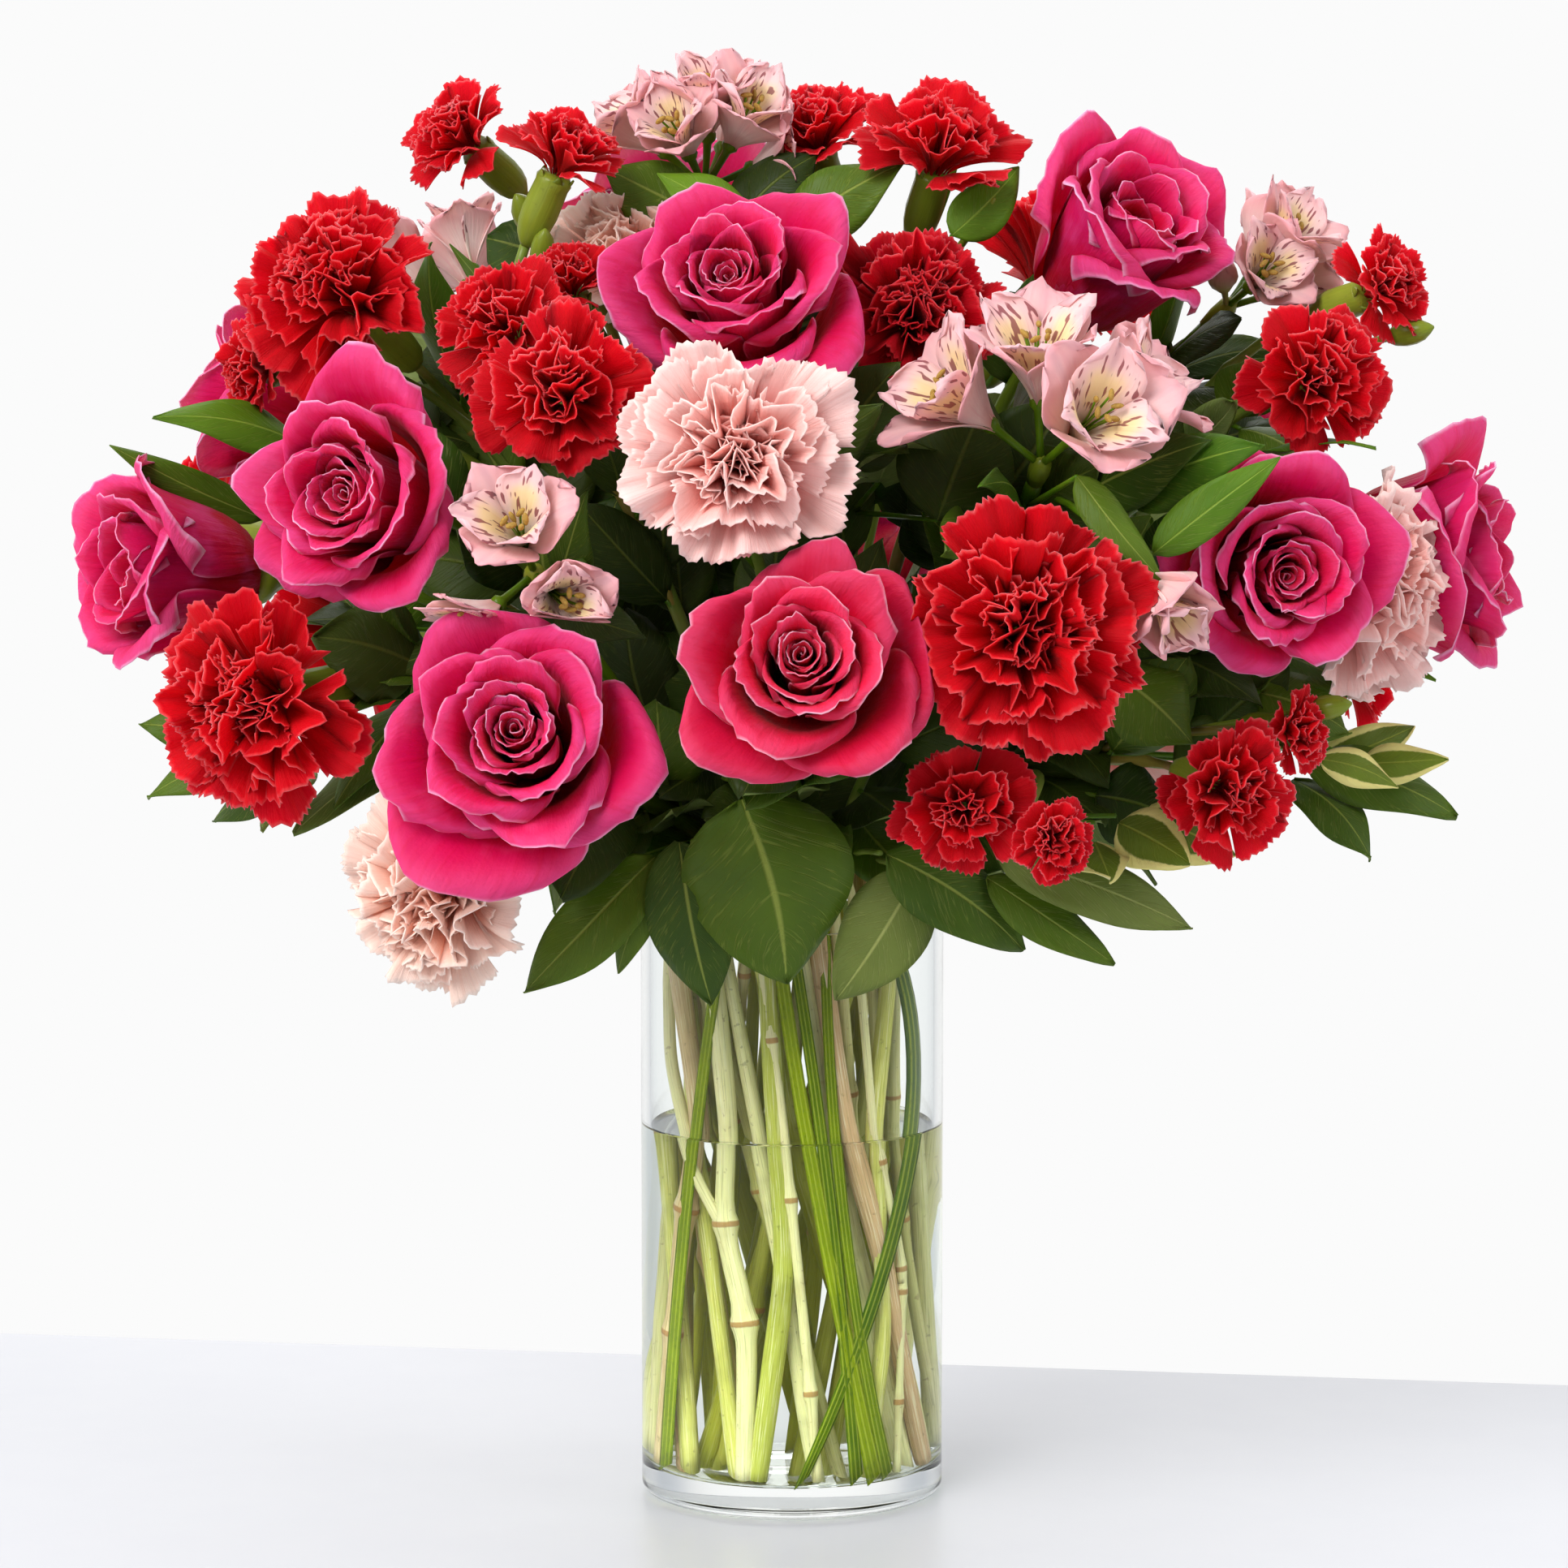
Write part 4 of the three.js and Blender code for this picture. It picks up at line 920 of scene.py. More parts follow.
def stemShapes(head, dice):
    kind, radius = head["kind"], stemRadius[head["kind"]]
    path = head["upper"]
    if "on" not in head:
        # the standing part, bowed a little sideways
        bow = stemForm["bow"]
        t = np.linspace(0, 1, 40)[:-1, None]
        sideways = unit(np.cross(head["rim"] - head["foot"], head["rim"] * (1, 1, 0)))
        path = np.concatenate((head["foot"] + t * (head["rim"] - head["foot"])
                               + dice.uniform(-bow, bow) * np.sin(math.pi * t) ** 2 * sideways, path))
    lengths = lengthsOf(path)
    whole = lengths[-1]
    marks, papery = np.array(()), np.array(())
    if kind in knots:
        marks = dice.uniform(*stemForm["firstJoint"]) + np.cumsum(dice.uniform(*knots[kind], 14))
        marks = marks[marks < whole - stemForm["lastJoint"]]
        papery = dice.uniform(*stemForm["papery"], len(marks))
    near = (marks[:, None] + np.array(stemForm["near"])).ravel()
    even = np.linspace(0, whole, int(whole / stemForm["every"]))
    places = np.unique(np.clip(np.concatenate((even, near)), 0, whole))
    points = np.stack([np.interp(places, lengths, path[:, i]) for i in range(3)], 1)
    knot = bumps(places, marks, stemForm["ring"], papery)
    swell = jointSwell[kind] * bumps(places, marks, stemForm["swelling"])
    uneven = 0.05 * np.sin(places / 17 + dice.uniform(0, 6)) + 0.03 * np.sin(places / 6.3 + dice.uniform(0, 6))
    radii = radius * dice.uniform(*stemForm["girth"]) * (1.02 - 0.16 * places / whole + uneven + swell)
    tone = float(dice.uniform(0, 1))
    stem = tube(points, radii, stemForm["sides"], tone=tone, knot=knot)
    mauve = kind in ("carnation", "spray") and dice.uniform() < stemForm["mauve"]
    stem["slot"] = stemSlot["mauve" if mauve else kind]
    if "on" not in head:
        cutFoot(stem, head, dice)
    depths, sizes = np.array(calyxRings[kind](head["radius"])).T
    cup = tube(head["seat"] - np.outer(stemForm["gap"] + depths, head["face"]), sizes, stemForm["sides"], tone=tone)
    return [stem, {**cup, "slot": calyxSlot}]


# out: from the vase's axis to a front stem's outside; in: how much nearer to the axis its top is; round: the sine of
# how far round the glass it may go; even: how often its bends are evened out; spots: rings along it; near: rings round
# a joint, with one such group also where a stem has none; swell and uneven: shares of its radius
front = {"out": 45.8, "in": 3, "round": 0.97, "even": 14, "spots": 46,
         "near": (-3, -1.6, -0.8, -0.3, 0.3, 0.8, 1.6, 3), "noJoint": (100,), "swell": 0.4, "uneven": 0.06}


def frontStem(form, dice):
    # up from the vase's floor just inside the glass, and above the rim into the nearest stem
    x, z = np.array(form["points"], float).T
    joints = np.array(form["joints"], float)
    near = np.array(form["joints"] or front["noJoint"], float)[:, None] + np.array(front["near"])
    spots = np.unique(np.concatenate((np.linspace(0, 1, front["spots"]), (z[0] - near.ravel()) / (z[0] - z[-1]))))
    share = (z - z[0]) / (z[-1] - z[0])
    steps = np.linspace(0, 1, 60)
    smooth = np.interp(steps, share, x)
    for _ in range(front["even"]):
        smooth[1:-1] = (smooth[:-2] + 2 * smooth[1:-1] + smooth[2:]) / 4
    x, z = np.interp(spots, steps, smooth), np.interp(spots, share, z)
    depth = front["out"] - form["radius"] - front["in"] * (1 - spots) ** 2
    side = np.clip(x / depth, -front["round"], front["round"])
    path = np.stack((depth * side, -depth * np.sqrt(1 - side**2), z), 1)
    above = min((pointAt(head["upper"], 0.2)[0] for head in upright),
                key=lambda point: np.linalg.norm(point - path[0]))
    path = np.concatenate((bezier(above, above + (0, 0, -6), path[0] * 2 - path[2], path[0])[:-1:6], path))
    knot, swell = (bumps(path[:, 2], joints, stemForm[part]) for part in ("ring", "swelling"))
    uneven = front["uneven"] * np.sin(path[:, 2] / 15 + dice.uniform(0, 6))
    radii = form["radius"] * (1 + front["swell"] * swell + uneven)
    stem = tube(path, radii, stemForm["sides"], tone=form["tone"], knot=knot)
    return {**stem, "slot": stemSlot[form["look"]]}


# as shares of its radius: where a bud's rings lie behind its tip, their sizes and where its stalk ends; the stalk's
# radius in mm, and how far up the stem that bears it the bud branches off
budForm = {"back": (-3.9, -3.4, -2.6, -1.8, -1, -0.4, 0), "sizes": (0.5, 0.82, 1, 1, 0.82, 0.45, 0.12), "neck": 4.2,
           "stalk": 1.3, "share": 0.72}


def greenBud(on, tip, radius):
    root = pointAt(heads[on]["upper"], budForm["share"])[0]
    way = unit(np.array(tip) - root)
    length = np.linalg.norm(np.array(tip) - root)
    stalk = np.linspace(0, length - budForm["neck"] * radius, 4)
    heights = np.concatenate((stalk, length + radius * np.array(budForm["back"])))
    sizes = np.concatenate((np.full(len(stalk), budForm["stalk"]), radius * np.array(budForm["sizes"])))
    return {**tube(root + np.outer(heights, way), sizes, 10, tone=0.5), "slot": calyxSlot}


def cutFoot(stem, head, dice):
    # the stem's slanting cut, standing on the vase's floor
    way = unit(head["rim"] - head["foot"])
    first = stem["points"][:stemForm["sides"]]
    level = unit(np.array((way[0], way[1], 0.001)))
    slope = dice.uniform(0.3, 1.1)
    first += np.outer((first - head["foot"]) @ level * slope, way)
    first += way * max(0, (vase["floor"] + stemForm["gap"] - first[:, 2].min()) / way[2])


sepalBlank = makeBlank(4, 8)
bladeBlank = makeBlank(4, 24)
# how many there are, length, width, how far they lean out, the radius of their ring and how high they start
sepalForm = {
    "rose": {"count": 5, "length": 24, "width": 9, "flare": -0.25, "radius": 9.5, "low": -0.5},
    "carnation": {"count": 5, "length": 7, "width": 6, "flare": 0.12, "radius": 7.0, "low": -0.5},
    "spray": {"count": 5, "length": 5, "width": 4.5, "flare": 0.12, "radius": 5.2, "low": -0.5},
}


def sepalPoints(head, dice, count, length, width, flare, radius, low):
    u, v = sepalBlank["across"], sepalBlank["along"]
    sepals = []
    for i in range(count):
        bend = flare * dice.uniform(0.6, 1.3)
        out = curveAt(v, radius - 0.8, radius + 0.3, radius + 0.3 + bend * length, radius + bend * length * 1.4)
        rise = curveAt(v, low, low + 0.4 * length, low + (0.75 - 0.3 * abs(bend)) * length,
                       low + (1 - 0.6 * abs(bend)) * length)
        half = width / 2 * (1 - v**1.6) * (0.75 + 0.6 * v) + 0.15
        angle = math.tau * (i + dice.uniform(-0.12, 0.12)) / count
        side = u * half
        dip = 0.4 * u**2
        x = (out - dip) * math.cos(angle) - side * math.sin(angle)
        y = (out - dip) * math.sin(angle) + side * math.cos(angle)
        sepals.append(np.stack((x, y, rise), -1) @ turnTo(head["face"]).T + head["seat"])
    return np.array(sepals)


# ridged green stems against the front of the glass: x and z of three points down each, and its width
frontBlades = (
    ((-7, 206), (6, 122), (27, 11.8), 4.6), ((28, 206), (40, 128), (3, 12.2), 4.6),
    ((-2, 204), (11, 118), (21, 12), 3.8), ((-24, 204), (-34, 110), (-41, 12), 3.6),
    ((12, 204), (16, 110), (31, 12.4), 3.4),
)
# out: from the vase's axis to a blade; in: how much nearer to the axis its top is; about: the radius by which its
# width turns into an angle; ridge, ridges and hollow: how high the ridges are, how many, and how deep it is hollowed;
# slant: of its cut end
bladeForm = {"out": 46.6, "in": 5, "about": 47, "ridge": 0.5, "ridges": 3, "hollow": 1.2, "slant": 1.5}
# stems that show through the front: radius, look, tone, heights of its joints, and x and z of points down it
frontStems = [dict(zip(("radius", "look", "tone", "joints", "points"), row)) for row in (
    (3.3, "carnation", 0.95, (98, 65), ((-28, 204), (-20, 124), (-22, 98), (-14, 65), (-15, 12))),
    (2.0, "carnation", 0.8, (), ((-42, 204), (-40, 150), (-32, 116), (-22, 97))),
    (3.3, "mauve", 0.5, (101, 58), ((-41, 204), (-29, 125), (-33, 101), (-37, 58), (-40, 12))),
    (3.5, "alstroemeria", 0.3, (), ((-9, 204), (-5, 130), (-2, 83), (-11, 12))),
    (1.7, "spray", 0.6, (160, 107, 42), ((-12, 204), (-2, 123), (6, 42), (8, 12))),
    (1.5, "mauve", 0.9, (118, 81, 73, 36), ((20, 204), (27, 121), (35, 82), (33, 12))),
    (3.6, "mauve", 0.2, (), ((7, 204), (17, 130), (28, 87), (40, 12))),
    (2.8, "rose", 0.4, (), ((34, 204), (26, 125), (29, 60), (23, 12))),
)]
# small green buds: the head whose stem bears each, its tip and its radius
greenBuds = (("spray_carnation_06", (-90, -36, 437), 5.2), ("spray_carnation_07", (-80, -46, 426), 4),
             ("spray_carnation_09", (66, -36, 436), 4.4), ("spray_carnation_05", (210, -30, 394), 4.2),
             ("spray_carnation_13", (178, -92, 276), 4), ("spray_carnation_15", (40, 140, 402), 4.6))


def bladeFinish():
    # a ridged stem, bright green, with pale ridges, their paleness partly a painted highlight along each ridge, and
    # dark specks
    finish = Finish("green_blade")
    across, along = finish.mapAxes()
    tone = finish.attribute("tone")
    place = finish.place()
    fibre = finish.grain(across * 16, along * 3, tone * 9)
    speck = finish.grain(across * 9, along * 120, tone * 5, 2)
    cloud = finish.noise(place, 50, 2)
    ridge = finish.step((across * 18.85 + 3.14159).alone("COSINE"), 0.1, 0.9)  # three across
    colour = finish.mix((tone * 0.9 + cloud * 0.6 - 0.25).clamped(), tint(66, 100, 2), tint(158, 176, 16))
    # pale ridges: partly their own colour, partly a painted highlight
    colour = finish.mix(ridge * 0.32, colour, tint(214, 220, 80))
    colour = finish.mix(finish.step(speck, 0.6, 0.68) * 0.4, colour, tint(60, 86, 4))
    return finish.surface({
        "Base Color": colour, "Roughness": 0.32 + 0.2 * cloud, "Normal": finish.bump(fibre + ridge, 0.4, 0.0006),
        **flesh(0.1, (0.5, 1.0, 0.25), 0.002), "Specular IOR Level": 0.05,
    })


def leafFinish(name, low, high, rib, edge=None):
    # a leaf with a pale rib, side veins that run out from it, and blotched green between them
    finish = Finish(name)
    along, off, tone, place = finish.sheetValues()[1:]
    cloud = finish.noise(place, 60, 3)
    fine = finish.noise(place, 700, 3)
    veins = finish.grain((along - off * 0.3) * 26, off * 0.8, tone * 5, 2)
    lines = 1 - finish.step((veins - 0.5).alone("ABSOLUTE"), 0.0, 0.03)
    ribbed = 1 - finish.step(off, 0.015, 0.06)
    colour = finish.mix((tone * 0.7 + cloud * 0.6 - 0.15).clamped(), low, high)
    colour = finish.mix(lines * 0.25, colour, rib)
    if edge:
        border = finish.step(off + 0.35 * (cloud - 0.5) + 0.1 * (fine - 0.5), 0.62, 0.7)
        colour = finish.mix(border, colour, edge)
    colour = finish.mix(ribbed * 0.7, colour, rib)
    relief = lines * -0.5 + ribbed * -0.8 + cloud * 0.5 + fine * 0.15
    return finish.surface({
        "Base Color": colour, "Roughness": 0.42 + 0.2 * cloud, "Normal": finish.bump(relief, 0.5, 0.001),
        **flesh(0.1, (0.5, 1.0, 0.25), 0.002), "Specular IOR Level": 0.2,
    })


# by look: the finish's name, low and high green, rib and, for some, the edge
leafColours = {
    "broad": ("broad_leaf", (36, 62, 6), (84, 108, 18), (140, 152, 66)),
    "pale": ("grey_green_leaf", (70, 88, 30), (122, 134, 62), (160, 168, 96)),
    "edged": ("cream_edged_leaf", (48, 72, 10), (110, 128, 30), (150, 160, 60), (222, 212, 132)),
    "fresh": ("alstroemeria_leaf", (46, 84, 8), (104, 138, 26), (140, 166, 60)),
    # shade: a leaf's green darkened as painted shade, for leaves deep in the bouquet
    "shade": ("inner_leaf", (26, 42, 4), (60, 76, 14), (92, 104, 36)),
    "under": ("leaf_underside", (84, 104, 44), (130, 144, 78), (160, 170, 106)),
    "edgedUnder": ("cream_edged_underside", (104, 120, 56), (146, 158, 84), (170, 178, 110), (220, 214, 156)),
}
leafFinishes = {look: leafFinish(name, *(tint(*colour) for colour in row))
                for look, (name, *row) in leafColours.items()}
leafLooks = list(leafFinishes)
leafSlots = [leafFinishes[look] for look in ("broad", "pale", "edged", "fresh", "shade", "under", "under",
                                             "edgedUnder", "under", "under")]
# leaves: collars and sprays, and those between the heads
leafBlank = makeBlank(8, 16)
innerBlank = makeBlank(6, 10)


def leafPoints(start, tip, width, dice, droop=0.22, pointed=1.0, blank=leafBlank):
    # an arched leaf folded along its rib, with waved rims and a drawn-out tip
    start, tip = np.array(start, float), np.array(tip, float)
    u, v = blank["across"], blank["along"]
    along = tip - start
    length = np.linalg.norm(along)
    centre = (start + tip) / 2
    # a leaf on the front half turns its face to the front rather than outwards
    outward = (0.5 * centre[0], centre[1] - 90, 70.0) if centre[1] < 30 else (centre[0], centre[1], 40.0)
    outward = unit(np.array(outward))
    across = unit(np.cross(along, outward))
    above = np.cross(across, unit(along))
    low, high = 0.62, 0.62 * pointed + 0.1
    widest = low / (low + high)
    half = width / 2 * (v + 0.004) ** low * (1.003 - v) ** high / (widest**low * (1 - widest) ** high)
    wave = 0.07 * width * np.sin(9 * v + dice.uniform(0, 6) + 1.5 * u) * u**2
    rise = length * droop * 4 * v * (1 - v) * 0.5 - 0.2 * np.abs(u) * half + wave
    bend = length * dice.uniform(-0.05, 0.05) * np.sin(math.pi * v)
    return start + np.outer(v, along) + np.outer(u * half + bend, across) + np.outer(rise, above)


# leaves seen between the heads: the head whose stem bears each, how far up that stem, tip, width, look and, for
# some, where the blade begins
# the shade look among these gives painted shade to leaves deep between the heads
nestLeaves = (
    ("red_carnation_01", 0.72, (-205, -70, 366), 18, "fresh"), ("rose_01", 0.7, (-222, -46, 356), 13, "broad"),
    ("red_carnation_01", 0.86, (-119, -24, 421), 24, "fresh"),
    ("spray_carnation_01", 0.75, (-112, -30, 421), 9, "broad"), ("alstroemeria_03", 0.86, (6, -14, 450), 18, "fresh"),
    ("alstroemeria_03", 0.92, (23, -18, 430), 15, "broad"), ("alstroemeria_03", 0.8, (-66, -8, 440), 14, "fresh"),
    ("alstroemeria_01", 0.8, (47, -128, 326), 27, "broad"), ("alstroemeria_01", 0.9, (58, -132, 347), 13, "fresh"),
    ("alstroemeria_01", 0.86, (130, -124, 361), 23, "broad"),
    ("alstroemeria_01", 0.78, (145, -134, 360), 21, "fresh"),
    ("spray_carnation_04", 0.8, (187, -72, 356), 15, "fresh"),
    ("spray_carnation_04", 0.7, (140, -90, 372), 16, "broad"), ("rose_08", 0.72, (212, -32, 278), 9, "fresh"),
    ("rose_08", 0.6, (214, -52, 254), 14, "edged", (186, -48, 252)),
    ("rose_08", 0.68, (196, -66, 246), 13, "edged", (170, -72, 256)),
    ("red_carnation_02", 0.7, (-161, -74, 232), 20, "pale"),
    ("red_carnation_02", 0.78, (-148, -74, 240), 22, "broad"),
    ("alstroemeria_02", 0.72, (-133, -70, 284), 20, "broad"),
    ("alstroemeria_02", 0.84, (-46, -128, 300), 18, "shade"), ("alstroemeria_02", 0.8, (-64, -120, 345), 18, "broad"),
    ("pink_carnation_01", 0.7, (-52, -110, 372), 22, "shade"),
    ("pink_carnation_01", 0.78, (28, -120, 372), 24, "shade"), ("alstroemeria_04", 0.84, (132, 8, 428), 18, "fresh"),
    ("alstroemeria_04", 0.9, (172, 24, 384), 18, "broad"), ("alstroemeria_06", 0.8, (-150, 70, 392), 20, "fresh"),
    ("alstroemeria_06", 0.75, (-92, 88, 410), 20, "broad"), ("alstroemeria_05", 0.8, (122, 138, 300), 18, "fresh"),
    ("spray_carnation_09", 0.85, (60, 6, 470), 9, "fresh"), ("rose_10", 0.8, (-134, 92, 330), 24, "broad"),
    ("rose_12", 0.8, (176, 70, 330), 24, "broad"), ("rose_13", 0.8, (-76, 66, 430), 22, "fresh"),
    ("red_carnation_07", 0.85, (100, 20, 424), 20, "fresh"), ("red_carnation_05", 0.8, (-50, 130, 330), 22, "broad"),
    ("rose_03", 0.3, (-56, -76, 222), 24, "broad"), ("rose_03", 0.4, (-38, -84, 240), 28, "shade"),
    ("rose_04", 0.25, (-24, -78, 220), 24, "shade"), ("rose_04", 0.36, (2, -88, 246), 28, "shade"),
    ("rose_04", 0.3, (17, -86, 224), 26, "broad"), ("red_carnation_03", 0.36, (34, -84, 238), 28, "shade"),
    ("red_carnation_03", 0.3, (44, -80, 214), 24, "broad"), ("rose_07", 0.3, (70, -72, 230), 28, "shade"),
    ("rose_07", 0.45, (102, -72, 248), 28, "shade"), ("rose_08", 0.5, (140, -54, 262), 28, "broad"),
    ("rose_07", 0.74, (124, -88, 300), 30, "broad"), ("rose_07", 0.68, (150, -86, 274), 28, "shade"),
    ("rose_08", 0.7, (188, -52, 274), 24, "broad"), ("red_carnation_03", 0.7, (104, -112, 330), 30, "shade"),
    ("alstroemeria_01", 0.85, (98, -96, 352), 32, "shade"), ("rose_06", 0.72, (90, -62, 384), 32, "shade"),
    ("red_carnation_04", 0.8, (60, -84, 374), 28, "shade"), ("rose_07", 0.85, (132, -80, 354), 28, "shade"),
    ("pink_carnation_01", 0.9, (22, -132, 350), 28, "shade"), ("red_carnation_04", 0.7, (36, -108, 358), 30, "shade"),
    ("rose_04", 0.84, (28, -122, 330), 28, "shade"), ("alstroemeria_01", 0.7, (60, -110, 340), 30, "shade"),
    ("alstroemeria_01", 0.86, (151, -130, 356), 15, "fresh", (112, -128, 326)),
    ("alstroemeria_01", 0.9, (114, -142, 318), 13, "broad", (88, -132, 350)),
    ("rose_05", 0.9, (24, -58, 402), 38, "shade", (-14, -58, 386)),
    ("red_carnation_04", 0.8, (34, -92, 384), 34, "shade", (12, -84, 352)),
    ("red_carnation_04", 0.7, (62, -84, 374), 38, "shade", (46, -86, 334)),
    ("rose_06", 0.7, (88, -70, 372), 36, "shade", (66, -74, 340)),
    ("rose_07", 0.8, (122, -66, 378), 34, "shade", (100, -72, 346)),
    ("rose_07", 0.6, (128, -84, 262), 30, "broad", (104, -84, 284)),
    ("rose_08", 0.66, (182, -50, 262), 26, "broad", (152, -56, 276)),
    ("rose_08", 0.6, (150, -62, 250), 26, "shade", (124, -66, 262)),
    ("rose_01", 0.6, (-154, -76, 296), 34, "shade", (-120, -70, 286)),
    ("rose_02", 0.6, (-124, -86, 268), 30, "broad", (-98, -84, 290)),
    ("rose_08", 0.7, (162, -50, 284), 30, "shade", (134, -54, 262)),
    ("rose_07", 0.3, (124, -70, 236), 28, "shade", (98, -70, 244)),
    ("alstroemeria_03", 0.9, (-62, -20, 446), 26, "broad", (-30, -22, 430)),
    ("alstroemeria_03", 0.9, (8, -18, 450), 24, "shade", (-18, -22, 428)),
    ("alstroemeria_03", 0.9, (36, -34, 447), 24, "broad", (-2, -36, 424)),
    ("alstroemeria_03", 0.9, (-44, -34, 444), 18, "fresh", (-14, -36, 428)),
    ("red_carnation_04", 0.85, (74, -30, 446), 18, "fresh", (52, -38, 424)),
    ("red_carnation_02", 0.8, (-212, -58, 266), 16, "broad", (-180, -66, 262)),
    ("rose_05", 0.8, (14, -66, 386), 30, "shade", (-12, -66, 362)), ("rose_05", 0.7, (26, -72, 372), 30, "shade"),
    ("rose_02", 0.6, (-106, -92, 300), 28, "shade"), ("rose_01", 0.6, (-160, -70, 300), 26, "shade"),
)
# a placed leaf is at most this long, and at most this share of the way from its stem to its tip
nestForm = {"longest": 58, "share": 0.88, "droop": 0.14, "pointed": 1.5}
# each: leaves for a stem; out: from the stem to the leaf's start; along and away: how much it follows the stem and
# turns from the bouquet's middle; low: nothing of it hangs lower; clear and back: the share of a head's radius it keeps
# from a point that lies back from the head's middle
innerLeaves = {"each": 10, "tries": 40, "length": (30, 54), "width": (18, 30), "from": 0.16, "to": 0.9, "out": 5,
               "along": 0.7, "away": 0.5, "middle": (0, 0, 250), "low": 205, "clear": 0.86, "back": 0.1}
leafWalls = {"collar": 0.6, "nest": 0.45, "blade": 0.9, "sepal": 0.6}  # thickness in mm


def clearOfHeads(points):
    # true if nothing of a leaf comes near the middle of a head
    for head in blooms:
        if head["kind"] != "alstroemeria":
            away = points - head["at"] + head["face"] * head["radius"] * innerLeaves["back"]
            if (np.linalg.norm(away, axis=1) < head["radius"] * innerLeaves["clear"]).any():
                return False
    return True


def leafSheet(blank, points, look, dice):
    return sheetPart(blank, points[None] * mm, [dice.uniform(0, 1)], leafLooks.index(look))


def makeSprays(name, parts, stalks, thickness, *nodes):
    leaves = makeSheets(name + "_leaves", parts, leafSlots, thickness, 5)
    stalk = makeSolids(name + "_stalks", stalks, [leafyStem])
    settle(joinPieces([leaves, stalk], name + "_leaves"), "green_leaf", *nodes)


def makeLeaves():
    dice = np.random.default_rng(31)
    for name, spray in foliage.items():
        parts, stalks = [], []
        for start, tip, width, look in spray["leaves"]:
            parts.append(leafSheet(leafBlank, leafPoints(start, tip, width, dice, 0.22, 1.35), look, dice))
            seat = heads[name]["seat"]
            middle = (np.array(start) + seat) / 2 + np.array((0, 0, 3))
            path = bezier(seat, middle, middle, np.array(start, float))[::6]
            stalks.append(tube(path, np.linspace(1.3, 0.9, len(path)), 6, tone=0.4))
        makeSprays(name, parts, stalks, leafWalls["collar"], name)
    parts, stalks = [], []
    for on, share, tip, width, look, *own in nestLeaves:
        root = pointAt(heads[on]["upper"], share)[0]
        reach = np.array(tip) - root
        size = min(nestForm["share"], nestForm["longest"] / np.linalg.norm(reach))
        start = np.array(own[0]) if own else tip - reach * size
        points = leafPoints(start, tip, width, dice, nestForm["droop"], nestForm["pointed"])
        parts.append(leafSheet(leafBlank, points, look, dice))
        stalks.append(tube(np.linspace(root, start, 4), (1.1, 1, 0.9, 0.8), 6, tone=0.3))
    for head in upright:
        tries = made = 0
        while made < innerLeaves["each"] and tries < innerLeaves["tries"]:
            tries += 1
            root, along = pointAt(head["upper"], dice.uniform(innerLeaves["from"], innerLeaves["to"]))
            away = unit(root - np.array(innerLeaves["middle"])) * innerLeaves["away"]
            way = unit(unit(dice.normal(size=3)) + along * innerLeaves["along"] + away)
            start, tip = root + way * innerLeaves["out"], root + way * dice.uniform(*innerLeaves["length"])
            points = leafPoints(start, tip, dice.uniform(*innerLeaves["width"]), dice, blank=innerBlank)
            if clearOfHeads(points) and points[:, 2].min() > innerLeaves["low"]:
                made += 1
                # two of every three take the shade look, darkened as painted shade
                parts.append(leafSheet(innerBlank, points, "shade" if made % 3 else "broad", dice))
                stalks.append(tube(np.linspace(root, start, 3), (1, 0.9, 0.8), 6, tone=0.3))
    makeSprays("nest", parts, stalks, leafWalls["nest"])
    print("leaves are made:", len(parts))


def bladePoints(top, middle, foot, width):
    u, v = bladeBlank["across"], bladeBlank["along"]
    top, middle, foot = np.array(top, float), np.array(middle, float), np.array(foot, float)
    x, z = curveAt(v[:, None], foot, 2 * middle - (foot + top) / 2, top).T
    ridge = bladeForm["ridge"] * np.cos(math.pi * bladeForm["ridges"] * u) + bladeForm["hollow"] * u**2
    angle = np.arcsin(np.clip((x + u * width / 2) / bladeForm["about"], -1, 1))
    depth = bladeForm["out"] - ridge - bladeForm["in"] * v**3
    z = z + bladeForm["slant"] * u * (1 - v) ** 12 * width / 3
    return np.stack((depth * np.sin(angle), -depth * np.cos(angle), z), -1)


def makeStems():
    dice = np.random.default_rng(17)
    shapes, sepals = [], []
    for head in blooms:
        shapes += stemShapes(head, dice)
        if head["kind"] in sepalForm:
            form = sepalForm[head["kind"]]
            points = sepalPoints(head, dice, **form)
            sepals.append(sheetPart(sepalBlank, points * mm, dice.uniform(0, 1, form["count"])))
    shapes += [frontStem(form, dice) for form in frontStems] + [greenBud(*bud) for bud in greenBuds]
    stems = makeSolids("cut_stems", shapes, stemFinishes)
    cups = makeSheets("sepals", sepals, [calyxFinish], leafWalls["sepal"])
    settle(joinPieces([stems, cups], "cut_stems"), "green_stem", "stems")
    grass = np.array([bladePoints(*blade) for blade in frontBlades])
    blades = makeSheets("grass_blades", [sheetPart(bladeBlank, grass * mm, dice.uniform(0, 1, len(grass)))],
                        [bladeFinish()], leafWalls["blade"])
    settle(blades, "green_leaf")
    print("stems are made")


makeLeaves()
makeStems()

# alstroemeria: pedicels, six tepals, stamens and buds

tepalBlank = makeBlank(10, 12)
egg = makeEgg()
# as shares of a floret's length; tip: how blunt; closed: a shorter floret is a bud
tepalForm = {
    "outer": {"r": (0.02, 0.08, 0.24, 0.44), "z": (0.4, 0.6, 0.86, 0.93), "half": 0.28, "tip": 0.9, "widest": 0.74},
    "inner": {"r": (0.02, 0.05, 0.18, 0.36), "z": (0.4, 0.66, 0.92, 0.99), "half": 0.2, "tip": 0.6, "widest": 0.7},
    "thickness": 0.4, "closed": 38, "halfOpen": 0.55,
}


